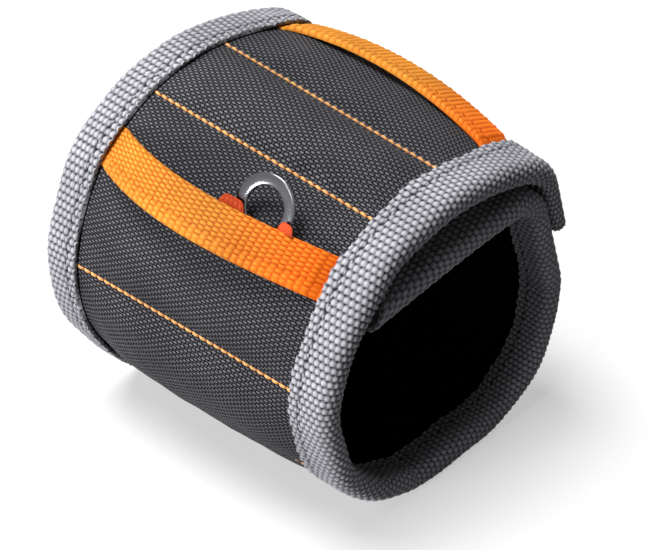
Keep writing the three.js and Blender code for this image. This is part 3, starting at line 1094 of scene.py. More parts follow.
@dataclass
class QuiltedBody:
    """The cover with its stuffed pockets, and the lining inside it."""

    band: RolledBand
    wardrobe: Wardrobe
    cover_step: float = 0.75
    cover_column: float = 1.1
    lining_step: float = 1.5
    lining_column: float = 2.0
    inner_puff: float = 0.7
    fill: float = 0.7
    ripples: tuple[tuple[Wave, Wave], ...] = (
        (Wave(0.31, 0.09, 0.6, height=0.16), Wave(-0.05, 0.23, 1.1)),
        (Wave(0.74, -0.3, height=0.08), Wave(0.21, 0.52, 2.0)),
    )

    def span(self, stretch: Stretch) -> tuple[float, float]:
        """Start and end of the cloth in a stretch, clear of the folded end bindings."""
        clear = self.band.binding + self.band.gap
        return max(stretch.start, clear), min(stretch.end, self.band.tail_end - clear)

    def unevenness(self, s: np.ndarray, x: np.ndarray) -> np.ndarray:
        """Shallow ripples of the stuffed cloth at places along and across the band."""
        return sum(first.at(s, x) * second.at(s, x) for first, second in self.ripples)

    def shell(self, stretch: Stretch, step: float, column: float, lining: bool) -> bpy.types.Object:
        """Makes the cover or the lining of a stretch as a closed shell.

        Args:
            stretch: The stretch of the band.
            step: Size of its faces along the band.
            column: Size of its faces across the band.
            lining: True for the lining, false for the cover.

        Returns:
            The new piece.
        """
        band = self.band
        start, end = self.span(stretch)
        s = even_steps(start, end, step)[:, None]
        x = even_steps(-band.core_edge, band.core_edge, column)[None, :]
        puff = band.puff(s, x)
        if lining:
            top = np.broadcast_to(band.lining_top(s), puff.shape)
            inside = band.bulge(x * band.pocket_edge / (band.rim - band.inner_flange), band.pocket_power)
            share = puff / band.pocket_crown * self.inner_puff
            bottom = top - band.lining - np.minimum(share, self.inner_puff * inside)
        else:
            top = band.cover_top + puff + self.unevenness(s, x) * puff / band.pocket_crown
            bottom = top - band.cover
        outer = band.point(s, x, top)
        inner = band.point(s, x, bottom)
        loops = np.concatenate((outer, inner[:, ::-1]), axis=1)
        place = np.stack(np.broadcast_arrays(s, x), axis=-1)
        uv = np.concatenate((place, place[:, ::-1]), axis=1)
        name = f"{'lining' if lining else 'cover'}_{stretch.name}"
        return MeshShop.loft(name, loops, uv, np.ones(loops.shape[:2]))

    def lining_length(self, stretch: Stretch) -> float:
        """Length of a stretch's lining along its own path, in metres.

        Args:
            stretch: The stretch of the band.

        Returns:
            The length.
        """
        band = self.band
        s = even_steps(*self.span(stretch), self.lining_step)
        run = band.point(s, 0.0, band.lining_top(s) - band.lining)
        return float(np.linalg.norm(np.diff(run, axis=0), axis=1).sum())

    def build(self) -> None:
        """Makes the covers and linings of every stretch."""
        band = self.band
        for stretch in band.stretches:
            cover = self.shell(stretch, self.cover_step, self.cover_column, lining=False)
            nodes = (f"{stretch.name}_cover", f"{stretch.name}_padding")
            self.wardrobe.dress(cover, NYLON, Slot.COVER, *nodes)
            band.fasten(cover, stretch.fold)
            lining = self.shell(stretch, self.lining_step, self.lining_column, lining=True)
            self.wardrobe.dress(lining, LINING_CLOTH, Slot.LINING, f"{stretch.name}_lining")
            flat = (2 * band.core_edge * MM, self.lining_length(stretch))
            band.fasten(lining, stretch.fold)


@dataclass(frozen=True)
class TapeRun:
    """A run of tape folded over an edge, with one row in its columns for each place along it.

    The edge's thickness is thick, and flange and inner are the reach of the tape's outer and inner side.
    Its weave starts at start, so that runs join up. Closing is the share by which it is folded shut, and
    swell its rise over what lies under it.
    """

    places: np.ndarray
    thick: np.ndarray
    flange: float
    inner: float
    start: float
    closing: np.ndarray
    swell: np.ndarray


@dataclass
class BoundEdges:
    """The chunky woven tape folded over the rims and the ends, with its sewn groove."""

    band: RolledBand
    wardrobe: Wardrobe
    loop_places: tuple[float, ...] = ()
    loop_reach: float = 6.8
    loop_bulge: float = 0.5
    bulge_start: float = 3.0
    bulge_fade: float = 4.0
    pitch_across: float = 1.5
    bead_top: float = 0.35
    bead_height: float = 0.7
    joined: float = 1.0
    samples_along: int = 5
    samples_across: int = 4
    round_share: float = 0.42
    tape: float = 0.8
    groove_place: float = 2.6
    groove_depth: float = 0.2
    groove_width: float = 0.35
    groove_shade: float = 0.45
    edge_scallop: float = 0.18
    edge_waves: tuple[Wave, ...] = (Wave(0.21, height=0.25), Wave(0.47, phase=1.0, height=0.15))
    stitch: Stitch = Stitch(2.1, 0.55, 0.5)
    stitch_pitch: float = 2.6
    stitch_seat: float = 0.12
    back_points: int = 24
    cut_width: float = 0.5
    end_run: float = 1.1
    end_round: float = 0.3
    end_inset: float = 0.5
    end_shade: float = 0.6

    def part_ends(self, tape: TapeRun) -> np.ndarray:
        """Places round the tape where its five parts, flat and round in turn, start and end.

        Args:
            tape: The run of tape.

        Returns:
            The six places, from the outer flange's edge on.
        """
        thick = float(np.max(tape.thick))
        r = self.round_share * thick
        bend = r * math.pi / 2
        parts = (tape.flange - r, bend, thick - 2 * r, bend, tape.inner - r)
        return np.concatenate(((0.0,), np.cumsum(parts)))

    def profile(self, tape: TapeRun, across: np.ndarray, ends: np.ndarray) -> Arrays:
        """Cross-section of the tape at places round it.

        Args:
            tape: The run of tape.
            across: Places round it, from the outer flange's edge to the inner one's.
            ends: Places where its parts start and end.

        Returns:
            Depth in from the edge, level, and the two parts of the way out of the tape.
        """
        r = self.round_share * tape.thick
        share = np.interp(across, ends, np.arange(len(ends)))
        part = [np.clip(share - k, 0, 1) for k in range(len(ends) - 1)]
        first, second = part[1] * math.pi / 2, part[3] * math.pi / 2
        inside = share > 3
        outer_depth = tape.flange - (tape.flange - r) * part[0] - r * np.sin(first)
        depth = np.where(inside, r - r * np.cos(second) + (tape.inner - r) * part[4], outer_depth)
        level = -r * (1 - np.cos(first)) - (tape.thick - 2 * r) * part[2] - r * np.sin(second)
        out_depth = np.where(inside, -np.cos(second), -np.sin(first))
        out_level = np.where(inside, -np.sin(second), np.cos(first))
        return depth, level, out_depth, out_level

    def bulge(self, tape: TapeRun, across: np.ndarray) -> np.ndarray:
        """Rise of the outer flange over what lies under it."""
        return tape.swell * (1 - ease((across - self.bulge_start) / self.bulge_fade))

    def woven_face(self, tape: TapeRun, ends: np.ndarray) -> Arrays:
        """Face of the tape, with its beads, its two sewn grooves and its wavy edges.

        Args:
            tape: The run of tape.
            ends: Places round it where its parts start and end.

        Returns:
            Depth, level, weave height with painted shade in the sewn grooves, and place round the tape
            of each point.
        """
        across = even_steps(0.0, ends[-1], self.pitch_across / self.samples_across)[None, :]
        sides = (across, ends[-1] - across)
        depth, level, out_depth, out_level = self.profile(tape, across, ends)
        along = tape.places - tape.start
        height = beads(across, along, self.pitch_across, self.band.bead_pitch, self.joined)
        groove = sum(np.exp(-(((side - self.groove_place) / self.groove_width) ** 2)) for side in sides)
        proud = self.bead_top - self.bead_height * (1 - height) - self.groove_depth * groove
        edge = np.exp(-((np.minimum(*sides) / self.pitch_across) ** 2))
        scallop = self.edge_scallop * np.cos(2 * math.pi * along / self.band.bead_pitch)
        depth = depth + edge * (scallop + sum(wave.at(along) for wave in self.edge_waves))
        depth = depth + out_depth * proud + self.end_inset * tape.closing**2
        level = level + out_level * (proud + self.bulge(tape, across))
        level = level - self.end_round * tape.closing**2 * (level + tape.thick / 2)
        # Painted shade: the sewn grooves are darkened in the colour, where shade falls in them.
        relief_shade = np.clip(height - self.groove_shade * groove, 0, 1)
        return depth, level, relief_shade, across

    def plain_back(self, tape: TapeRun, ends: np.ndarray) -> Arrays:
        """Back of the tape, from the inner cut edge to the outer one.

        Args:
            tape: The run of tape.
            ends: Places round it where its parts start and end.

        Returns:
            Depth, level, shade and place round the tape of each point.
        """
        across = np.linspace(ends[-1], 0.0, self.back_points)[None, :]
        depth, level, out_depth, out_level = self.profile(tape, across, ends)
        depth = depth - self.tape * out_depth
        level = level - out_level * (self.tape - self.bulge(tape, across))
        shut = np.maximum(depth, tape.thick / 2)
        depth = depth + tape.closing * (shut - depth)
        level = level - tape.closing * (level + tape.thick / 2)
        cut_edge = np.exp(-((np.minimum(across, ends[-1] - across) / self.cut_width) ** 2))
        shade = self.end_shade * np.maximum(tape.closing, cut_edge)
        return depth, level, shade, across

    def outlines(self, tape: TapeRun) -> Arrays:
        """Closed outlines of a run of tape.

        Args:
            tape: The run of tape.

        Returns:
            Depth, level, weave height with its painted shade, and cloth place of each point.
        """
        ends = self.part_ends(tape)
        sides = zip(self.woven_face(tape, ends), self.plain_back(tape, ends))
        depth, level, relief_shade, across = (np.concatenate(pair, axis=1) for pair in sides)
        cloth = np.stack(np.broadcast_arrays(tape.places, across), axis=-1)
        return depth, level, relief_shade, cloth

    def swell_at(self, run: np.ndarray) -> np.ndarray:
        """Swell of the binding over the tool loops' ends.

        Args:
            run: Places along the band.

        Returns:
            The rise at each place.
        """
        swell = np.zeros(run.shape)
        for place in self.loop_places:
            swell = swell + self.loop_bulge * np.exp(-(((run - place) / self.loop_reach) ** 6))
        return swell

    def rim_tape(self, rim: Rim, stretch: Stretch) -> bpy.types.Object:
        """Makes the tape over one rim in a stretch.

        Args:
            rim: The rim.
            stretch: The stretch of the band.

        Returns:
            The new piece.
        """
        band = self.band
        run = even_steps(stretch.start, stretch.end, band.bead_pitch / self.samples_along)
        near_ends = (self.end_run / 4, self.end_run / 2, band.tail_end - self.end_run / 2)
        near_ends = [s for s in near_ends if stretch.start < s < stretch.end]
        run = np.unique(np.concatenate((run, near_ends)))[:, None]
        closing = 1 - ease(np.minimum(run, band.tail_end - run) / self.end_run)
        swell = self.swell_at(run)
        tape = TapeRun(run, band.thickness(run), band.flange, band.inner_flange, 0.0, closing, swell)
        depth, level, relief_shade, cloth = self.outlines(tape)
        points = band.point(run, rim.value * (band.rim - depth), level)
        return MeshShop.loft(f"binding_{rim.name.lower()}_{stretch.name}", points, cloth, relief_shade)

    def end_tape(self, name: str, end: float, inward: int) -> bpy.types.Object:
        """Makes the tape over one end of the band.

        Args:
            name: Name of the piece.
            end: Place of the end.
            inward: 1 where the band goes on to larger places, or -1.

        Returns:
            The new piece.
        """
        band = self.band
        reach = band.flange_edge - band.gap
        run = even_steps(-reach, reach, band.bead_pitch / self.samples_along)[:, None]
        thick = np.full(run.shape, float(band.thickness(np.array(end))))
        plain = np.zeros(run.shape)
        tape = TapeRun(run, thick, band.end_flange, band.end_flange, -reach, plain, plain)
        depth, level, relief_shade, cloth = self.outlines(tape)
        points = band.point(end + inward * depth, run, level)
        return MeshShop.loft(name, points, cloth, relief_shade)

    def rim_stitches(self, rim: Rim, stretch: Stretch) -> bpy.types.Object:
        """Makes the grey stitches in both grooves of a rim in a stretch.

        Args:
            rim: The rim.
            stretch: The stretch of the band.

        Returns:
            The new piece.
        """
        band = self.band
        grain = self.stitch.grain()
        along, side, up = grain[0].T
        raised = up - self.stitch_seat
        count = int((stretch.end - stretch.start) / self.stitch_pitch)
        margin = (stretch.end - stretch.start - count * self.stitch_pitch) / 2
        copies = []
        for i in range(count):
            s = stretch.start + margin + (i + 0.5) * self.stitch_pitch + along
            x = rim.value * (band.flange_edge + self.groove_place + side)
            copies.append(band.point(s, x, raised + self.swell_at(s)))
            x = rim.value * (band.rim - band.inner_flange + self.groove_place + side)
            copies.append(band.point(s, x, -band.thickness(s) - raised))
        return MeshShop.strew(f"binding_stitches_{rim.name.lower()}_{stretch.name}", grain, copies)

    def build(self) -> None:
        """Makes the tape of both rims and both ends."""
        band = self.band
        for stretch in band.stretches:
            for rim in Rim:
                tape = self.rim_tape(rim, stretch)
                node = f"{stretch.name}_binding_{rim.name.lower()}"
                self.wardrobe.dress(tape, TAPE, Slot.BINDING, node)
                band.fasten(tape, stretch.fold)
                stitches = self.rim_stitches(rim, stretch)
                self.wardrobe.dress(stitches, GREY_THREAD, Slot.BINDING)
                band.fasten(stitches, stretch.fold)
        flap_end = self.end_tape("binding_flap_end", 0.0, 1)
        self.wardrobe.dress(flap_end, TAPE, Slot.BINDING, "flap_binding_end")
        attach(flap_end, Body.FLAP.value)
        tail_end = self.end_tape("binding_tail_end", band.tail_end, -1)
        self.wardrobe.dress(tail_end, TAPE, Slot.BINDING, "base_binding_end")
        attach(tail_end, Body.BASE.value)


@dataclass
class QuiltSeams:
    """Rows of light stitches sewn across the cover between its pockets."""

    band: RolledBand
    wardrobe: Wardrobe
    stitch: Stitch = Stitch(2.45, 0.78, 0.68)
    pitch: float = 2.2
    seat: float = 0.2
    tuck_in: float = 0.5

    def row(self, name: str, seam: float) -> bpy.types.Object:
        """Makes the stitches of one seam.

        Args:
            name: Name of the piece.
            seam: Place of the seam along the band.

        Returns:
            The new piece.
        """
        band = self.band
        grain = self.stitch.grain()
        along, side, up = grain[0].T
        count = int(2 * (band.flange_edge + self.tuck_in) / self.pitch)
        copies = []
        for i in range(count):
            x = (i + 0.5 - count / 2) * self.pitch + along
            copies.append(band.point(seam + side, x, band.cover_top + self.seat + up))
        return MeshShop.strew(name, grain, copies)

    def build(self) -> None:
        """Makes every row, and fastens to the base the rows whose seam does not fold."""
        band = self.band
        folds = {stretch.name: stretch.fold for stretch in band.stretches}
        seams = [(name, f"{name}_seam_thread", fold.seam, fold) for name, fold in folds.items() if fold]
        for i, seam in enumerate(band.base_seams, 1):
            seams.append((f"base_{i}", f"base_seam_thread_{i}", seam, None))
        for name, node, seam, fold in seams:
            stitches = self.row(f"seam_stitches_{name}", seam)
            self.wardrobe.dress(stitches, THREAD, Slot.THREAD, node)
            band.fasten(stitches, fold)


@dataclass
class ToolLoop:
    """A webbing loop that stands up off the cover between the two rim bindings."""

    band: RolledBand
    wardrobe: Wardrobe
    name: str
    node: str
    body: Body
    place: float
    rise: float
    bow: float
    skew: float = 0.0
    width: float = 11.0
    thick: float = 1.4
    arch_power: float = 2.0
    tuck_in: float = 2.0
    end_run: float = 3.5
    end_drop: float = 0.25
    end_thick: float = 0.35
    end_flat: float = 0.8
    rib_pitch: float = 1.75
    rib_squeeze: float = 0.0042
    rib_height: float = 0.4
    rib_samples: int = 8
    bead_pitch: float = 1.1
    bead_samples: int = 4
    hem: float = 3.4
    hem_bead: float = 1.2
    hem_rise: float = 0.3
    hem_ease: float = 0.6
    fold_width: float = 0.32
    fold_depth: float = 0.2
    fold_shade: float = 0.3
    edge_round: float = 0.7
    edge_share: float = 0.35
    back_points: int = 16
    back_shade: float = 0.5

    def weave(self, v: np.ndarray, ribs: np.ndarray) -> tuple[np.ndarray, np.ndarray]:
        """Ribs and beads of the webbing, with the folded hem along its lower edge.

        Args:
            v: Places across the webbing.
            ribs: Places along it.

        Returns:
            The shade from 0 to 1, and the rise over the webbing's plain top.
        """
        from_hem = v - (self.width - self.hem)
        plain = beads(v, ribs, self.bead_pitch, self.rib_pitch)
        chunky = beads(from_hem, ribs, self.hem_bead, self.rib_pitch)
        height = np.where(from_hem > 0, chunky, plain)
        fold_line = np.exp(-((from_hem / self.fold_width) ** 2))
        raised = self.hem_rise * ease(from_hem / self.hem_ease) - self.fold_depth * fold_line
        shade = np.clip(height - self.fold_shade * fold_line, 0, 1)
        return shade, raised - self.rib_height * (1 - height)

    def build(self) -> None:
        """Makes the loop, whose ends run in flat under the bindings."""
        band = self.band
        reach = band.flange_edge + self.tuck_in
        x = even_steps(-reach, reach, self.rib_pitch / self.rib_samples)[:, None]
        v = even_steps(0.0, self.width, self.bead_pitch / self.bead_samples)[None, :]
        back = np.linspace(self.width, 0.0, self.back_points)[None, :]
        end = ease((np.abs(x) - (band.flange_edge - self.end_run)) / self.end_run)
        seat = band.cover_top + band.gap - self.end_drop * end
        arch = band.bulge(x, self.arch_power)
        under = seat + (self.rise - seat) * arch
        shade, rise = self.weave(v, x + reach + self.rib_squeeze * x**2)
        edge = np.clip(np.minimum(v, self.width - v) / self.edge_round, 0, 1)
        rounding = np.sqrt(np.clip(1 - (1 - edge) ** 2, 0, 1))
        thick = self.thick * (1 - end) + self.end_thick * end
        thick = thick * (self.edge_share + (1 - self.edge_share) * rounding)
        top = under + thick + rise * (1 - self.end_flat * end)
        half = self.width / 2
        middle = self.place + self.bow * arch + self.skew * x / reach
        across = band.point(middle + half, x, under) - band.point(middle - half, x, under)
        widening = np.linalg.norm(across, axis=-1) / (self.width * MM)
        outer = band.point(middle + (v - half) / widening, x, top)
        inner = band.point(middle + (back - half) / widening, x, under)
        loops = np.concatenate((outer, inner), axis=1)
        cloth = np.stack(np.broadcast_arrays(x, np.concatenate((v, back), axis=1)), axis=-1)
        plain = np.full((len(x), self.back_points), self.back_shade)
        piece = MeshShop.loft(self.name, loops, cloth, np.concatenate((shade, plain), axis=1))
        self.wardrobe.dress(piece, WEBBING, Slot.WEBBING, self.node)
        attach(piece, self.body.value)


@dataclass(frozen=True)
class Ear:
    """A corner of the ring's tab that stands up beside the ring."""

    place: float
    half_width: float
    height: float

    def share(self, across: np.ndarray) -> np.ndarray:
        """Share of the ear's height at places across the tab."""
        return np.exp(-(((across - self.place) / self.half_width) ** 6))


@dataclass
class RingAndTab:
    """The flat steel ring and the folded webbing tab that holds it under the front tool loop."""

    band: RolledBand
    wardrobe: Wardrobe
    pivot: float
    x: float = 14.3
    outer: float = 8.0
    inner: float = 5.0
    thick: float = 1.0
    tilt: float = 15.0
    edge_power: float = 0.65
    ring_segments: int = 120
    edge_segments: int = 28
    tab: float = 0.5
    tab_width: float = 5.0
    tab_clearance: float = 0.4
    front_ends: tuple[float, float] = (-12.4, 10.1)
    ears: tuple[Ear, ...] = (Ear(-7.6, 4.2, 4.6), Ear(8.0, 2.4, 5.4))
    ear_lift: float = 0.3
    cut_place: float = 4.2
    cut_run: float = 1.8
    cut_rise: float = 6.6
    fold_top: float = 0.4
    fold_hem: float = 1.0
    fold_least: float = 1.0
    fold_room: float = 0.2
    fold_splay: float = 0.45
    corner_power: float = 10.0
    corner_least: float = 0.02
    weave_height: float = 0.16
    weave_pitch: tuple[float, float] = (1.3, 1.1)
    weave_radius: float = 2.2
    step: float = 0.22
    points_round: int = 40

    def __post_init__(self) -> None:
        """Works out the ring's own axes, with its pivot in the middle of the tab's fold."""
        band = self.band
        self.middle = (self.outer + self.inner) / 2
        rise = self.middle - math.sqrt(self.middle**2 - (self.tab_width / 2) ** 2)
        lean = math.sin(math.radians(self.tilt))
        room = (self.outer - self.inner + 2 * rise) * lean + self.thick + self.tab_clearance
        seat = band.cover_top + float(band.puff(self.pivot, self.x))
        self.axes = band.frame_at(self.pivot, self.x, seat + band.gap + self.tab + room / 2)

    def ring(self) -> bpy.types.Object:
        """Makes the ring from a torus pressed flat, with soft edges.

        Returns:
            The new piece.
        """
        bpy.ops.object.select_all(action="DESELECT")
        bpy.ops.mesh.primitive_torus_add(
            major_segments=self.ring_segments,
            minor_segments=self.edge_segments,
            major_radius=self.middle,
            minor_radius=1.0,
        )
        ring = bpy.context.object
        ring.name = "steel_ring"
        half_width, half_thick = (self.outer - self.inner) / 2, self.thick / 2
        points = np.array([vertex.co for vertex in ring.data.vertices])
        radius = np.hypot(points[:, 0], points[:, 1])
        wide, high = np.clip(radius - self.middle, -1, 1), np.clip(points[:, 2], -1, 1)
        pressed = self.middle + half_width * np.sign(wide) * np.abs(wide) ** self.edge_power
        flat = half_thick * np.sign(high) * np.abs(high) ** self.edge_power
        level = points[:, :2] * (pressed / radius)[:, None]
        shaped = np.concatenate((level, flat[:, None]), axis=1) * MM
        ring.data.vertices.foreach_set("co", shaped.astype(np.float32).ravel())
        lift = Matrix.Translation((0, self.middle * MM, 0))
        ring.data.transform(self.axes @ Matrix.Rotation(math.radians(self.tilt), 4, "X") @ lift)
        ring.data.update()
        bpy.ops.object.shade_smooth()
        return ring

    def fold(
        self, name: str, ends: tuple[float, float], ears: Sequence[Ear], side: int
    ) -> bpy.types.Object:
        """Makes one side of the tab's fold round the ring's lower band.

        Args:
            name: Name of the piece.
            ends: Its reach across the band from the pivot.
            ears: The corners that stand up beside the ring.
            side: 1 for the side in front of the ring, or -1 for the one behind it.

        Returns:
            The new piece.
        """
        across = even_steps(*ends, self.step)[:, None]
        turn = np.linspace(0, 2 * math.pi, self.points_round + 1)[None, :-1]
        lifted = sum(ear.share(across) for ear in ears)
        top = self.fold_top + sum(ear.height * ear.share(across) for ear in ears)
        low = -self.tab_width / 2 - self.fold_hem
        if ears:
            low = low + self.cut_rise * ease((across - self.cut_place) / self.cut_run)
        low = np.minimum(low, top - self.fold_least)
        middle, half = (ends[0] + ends[1]) / 2, (ends[1] - ends[0]) / 2
        rounded = 1 - np.abs((across - middle) / half) ** self.corner_power
        taper = np.sqrt(np.clip(rounded, self.corner_least, 1))
        weave = beads(across, turn * self.weave_radius, *self.weave_pitch)
        swell = (self.tab + self.weave_height * (weave - 1)) * taper
        back = low + (top - low) * (0.5 + 0.5 * np.cos(turn) * taper)
        clear = self.thick / 2 + self.tab + self.fold_room
        splay = self.fold_splay * np.maximum(0.0, -back)
        up = math.tan(math.radians(self.tilt)) * back + side * (clear + splay)
        up = up + swell * np.sin(turn) + self.ear_lift * lifted
        points = np.stack(np.broadcast_arrays(across, back, up), axis=-1) * MM
        axes = np.array(self.axes)
        placed = points @ axes[:3, :3].T + axes[:3, 3]
        cloth = np.stack(np.broadcast_arrays(across, turn * self.weave_radius), axis=-1)
        return MeshShop.loft(name, placed, cloth, weave)

    def build(self) -> None:
        """Makes the ring and both sides of its tab."""
        ring = self.ring()
        self.wardrobe.dress(ring, ZINC_DIM_REFLECTION, Slot.RING, "tool_ring")
        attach(ring, Body.RING.value)
        half = self.tab_width / 2
        front = self.fold("ring_tab_front", self.front_ends, self.ears, side=1)
        behind = self.fold("ring_tab_behind", (-half, half), (), side=-1)
        # The tab's webbing is the orange webbing with painted shade.
        self.wardrobe.dress(front, TAB_WEBBING_PAINTED_SHADE, Slot.WEBBING, "ring_tab")
        self.wardrobe.dress(behind, TAB_WEBBING_PAINTED_SHADE, Slot.WEBBING)
        for tab in (front, behind):
            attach(tab, Body.FRONT.value)


@dataclass
class Closure:
    """Hook tape under the closing flap and the loop patch on the tucked end."""

    band: RolledBand
    wardrobe: Wardrobe
    margin: float = 2.0
    columns: int = 96
    hook_length: float = 24.0
    hook_pitch: float = 1.5
    hook_height: float = 0.5
    hook_rows: int = 3
    patch_length: float = 55.0
    pile_step: float = 0.7
    pile_depth: float = 0.2
    pile_waves: tuple[Wave, Wave] = (Wave(2.1, 0.7), Wave(-0.9, 1.3))

    def plate(self, name: str, s: np.ndarray, seat: np.ndarray, top: np.ndarray) -> bpy.types.Object:
        """Makes a patch of hooks or pile.

        Args:
            name: Name of the piece.
            s: Places along the band, one row each.
            seat: Level that it lies on at each.
            top: Levels of its face, by row and column.

        Returns:
            The new piece.
        """
        band = self.band
        reach = band.rim - band.inner_flange - self.margin
        x = np.linspace(-reach, reach, self.columns)[None, :]
        outer, inner = band.point(s, x, top), band.point(s, x, seat)
        loops = np.concatenate((outer, inner[:, ::-1]), axis=1)
        place = np.stack(np.broadcast_arrays(s, x), axis=-1)
        cloth = np.concatenate((place, place[:, ::-1]), axis=1)
        shade = np.clip((top - top.min()) / max(np.ptp(top), TINY), 0, 1)
        return MeshShop.loft(name, loops, cloth, np.concatenate((shade, shade[:, ::-1]), axis=1))

    def build(self) -> None:
        """Makes the hook tape with its hooks, and the pile of the loop patch."""
        band = self.band
        column = np.arange(self.columns)[None, :]
        start = band.end_flange + band.gap
        s = even_steps(start, start + self.hook_length, self.hook_pitch / self.hook_rows)[:, None]
        seat = band.lining_top(s) - band.lining - band.gap
        row = np.arange(len(s))[:, None]
        stubs = (row % self.hook_rows == 1) & ((column + row // self.hook_rows) % 2 == 1)
        tips = seat - (band.patch - self.hook_height) - self.hook_height * stubs
        hook = self.plate("hook_tape_strip", s, seat, tips)
        self.wardrobe.dress(hook, PILE, Slot.HOOK_LOOP, "hook_tape")
        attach(hook, Body.FLAP.value)
        start = band.tuck + band.tuck_lead / 2
        s = even_steps(start, start + self.patch_length, self.pile_step)[:, None]
        seat = np.full(s.shape, band.cover_top + band.gap)
        fuzz = self.pile_waves[0].at(s, column) * self.pile_waves[1].at(s, column)
        patch = self.plate("loop_patch_pile", s, seat, seat + band.patch - self.pile_depth * (1 - fuzz))
        self.wardrobe.dress(patch, PILE, Slot.HOOK_LOOP, "loop_patch")
        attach(patch, Body.BASE.value)


@dataclass
class PocketMagnets:
    """The disc magnets inside the pockets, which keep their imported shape."""

    wardrobe: Wardrobe

    def build(self) -> None:
        """Gives every magnet its plated finish."""
        finish = self.wardrobe.material(PLATED_MAGNET)
        for name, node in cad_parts.items():
            if "_magnet_" in name:
                node.data.materials.clear()
                node.data.materials.append(finish)
                log.info("%s: plated", name)


@dataclass(frozen=True)
class Lamp:
    """A soft square lamp: its direction in degrees, distance and size in metres, and power in watts."""

    name: str
    azimuth: float
    elevation: float
    distance: float
    size: float
    power: float


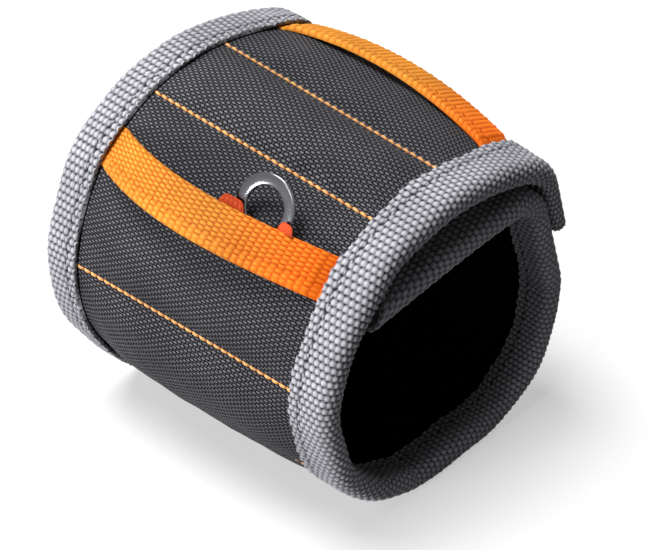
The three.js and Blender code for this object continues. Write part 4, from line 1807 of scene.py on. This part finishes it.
@dataclass
class Studio:
    """Camera, floor, world and lamps. Lengths are in metres here, and those of the picture in pixels."""

    aim: tuple[float, float, float] = (0.0, 0.0, 0.045)
    distance: float = 0.4
    azimuth: float = 45.24
    elevation: float = 36.95
    focal_pixels: float = 1563.6
    image_width: float = 650.0
    shift_pixels: tuple[float, float] = (8.0, -13.2)
    nearest: float = 0.01
    fill: float = 0.015
    floor_size: float = 6.0
    floor_cuts: int = 4
    floor_roughness: float = 0.9
    floor_specular: float = 0.1
    floor_seen: float = 0.4
    floor_bounce: float = 0.17
    floor_glow: float = 0.5
    backdrop_start: float = 0.35
    backdrop_end: float = 1.1
    lamps: tuple[Lamp, ...] = (
        Lamp("key", -50.0, 73.0, 1.2, 0.65, 24.5),
        Lamp("side", -6.0, 3.0, 1.1, 0.36, 16.5),
        Lamp("rim", 75.0, 18.0, 1.1, 0.25, 0.45),
        Lamp("glint", 0.0, 42.0, 1.1, 0.34, 2.2),
    )

    def look(
        self, data: bpy.types.ID, azimuth: float, elevation: float, distance: float
    ) -> bpy.types.Object:
        """Adds a camera or lamp that faces the object.

        Args:
            data: The camera's or lamp's data.
            azimuth: Its azimuth, in degrees.
            elevation: Its elevation, in degrees.
            distance: Its distance.

        Returns:
            The new object.
        """
        a, e = math.radians(azimuth), math.radians(elevation)
        back = Vector((math.sin(a) * math.cos(e), -math.cos(a) * math.cos(e), math.sin(e)))
        placed = bpy.data.objects.new(data.name, data)
        placed.location = Vector(self.aim) + back * distance
        placed.rotation_euler = (-back).to_track_quat("-Z", "Y").to_euler()
        bpy.context.scene.collection.objects.link(placed)
        return placed

    def camera(self) -> None:
        """Sets the camera at the photograph's viewing angle."""
        data = bpy.data.cameras.new("camera")
        data.lens = self.focal_pixels / self.image_width * data.sensor_width
        data.shift_x, data.shift_y = (shift / self.image_width for shift in self.shift_pixels)
        data.clip_start = self.nearest
        bpy.context.scene.camera = self.look(data, self.azimuth, self.elevation, self.distance)

    def light(self) -> None:
        """Adds the lamps."""
        for lamp in self.lamps:
            data = bpy.data.lights.new(lamp.name, "AREA")
            data.size = lamp.size
            data.energy = lamp.power
            self.look(data, lamp.azimuth, lamp.elevation, lamp.distance)

    @staticmethod
    def seen_mask(wiring: Wiring) -> Socket:
        """Tells the rays that show the background straight or in a reflection.

        Args:
            wiring: The material's or world's wiring.

        Returns:
            Value that is 1 on those rays and 0 on the others.
        """
        path = wiring.add("ShaderNodeLightPath")
        seen = wiring.calc("MAXIMUM", path.outputs["Is Camera Ray"], path.outputs["Is Glossy Ray"])
        return wiring.calc("MAXIMUM", seen, path.outputs["Is Transmission Ray"])

    def world(self) -> None:
        """Makes a white background with a softer fill."""
        world = bpy.data.worlds.new("studio")
        bpy.context.scene.world = world
        world.use_nodes = True
        wiring = Wiring(world.node_tree)
        seen = self.seen_mask(wiring)
        strength = wiring.calc("MULTIPLY_ADD", seen, 1.0 - self.fill, self.fill)
        wiring.feed_all(world.node_tree.nodes["Background"], Color=WHITE, Strength=strength)

    def floor(self) -> None:
        """Makes the pale floor, which keeps the object's shadow."""
        bpy.ops.object.select_all(action="DESELECT")
        bpy.ops.mesh.primitive_grid_add(
            x_subdivisions=self.floor_cuts, y_subdivisions=self.floor_cuts, size=self.floor_size
        )
        floor = bpy.context.object
        floor.name = "floor"
        made, wiring, shader = blank_material("pale_floor")
        seen = self.seen_mask(wiring)
        more = self.floor_seen - self.floor_bounce
        away = wiring.add("ShaderNodeVectorMath", operation="LENGTH")
        wiring.feed(away.inputs[0], wiring.add("ShaderNodeTexCoord").outputs["Object"])
        glow = wiring.spread(
            away.outputs["Value"],
            From_Min=self.backdrop_start,
            From_Max=self.backdrop_end,
            To_Min=self.floor_glow,
        )
        wiring.feed_all(
            shader,
            Base_Color=wiring.calc("MULTIPLY_ADD", seen, more, self.floor_bounce),
            Roughness=self.floor_roughness,
            Specular_IOR_Level=self.floor_specular,
            Emission_Color=WHITE,
            Emission_Strength=wiring.calc("MULTIPLY", seen, glow),
        )
        floor.data.materials.append(made)

    def build(self) -> None:
        """Sets up the whole studio."""
        bpy.context.scene.view_settings.view_transform = "Standard"
        self.camera()
        self.world()
        self.floor()
        self.light()


def main() -> None:
    """Builds the wristband's pieces in order."""
    logging.basicConfig(level=logging.INFO)
    Studio().build()
    band = RolledBand()
    wardrobe = Wardrobe()
    front_loop = ToolLoop(
        band,
        wardrobe,
        name="tool_loop_front",
        node="front_tool_loop",
        body=Body.FRONT,
        place=band.top_seam + band.front_loop_offset,
        rise=10.0,
        bow=2.4,
        skew=0.7,
    )
    flap_loop = ToolLoop(
        band,
        wardrobe,
        name="tool_loop_flap",
        node="flap_tool_loop",
        body=Body.FLAP,
        place=band.crown - band.flap_loop_offset,
        rise=3.6,
        bow=0.0,
    )
    QuiltedBody(band, wardrobe).build()
    BoundEdges(band, wardrobe, loop_places=(front_loop.place, flap_loop.place)).build()
    QuiltSeams(band, wardrobe).build()
    front_loop.build()
    flap_loop.build()
    RingAndTab(band, wardrobe, pivot=front_loop.place).build()
    Closure(band, wardrobe).build()
    PocketMagnets(wardrobe).build()


if __name__ == "__main__":
    main()
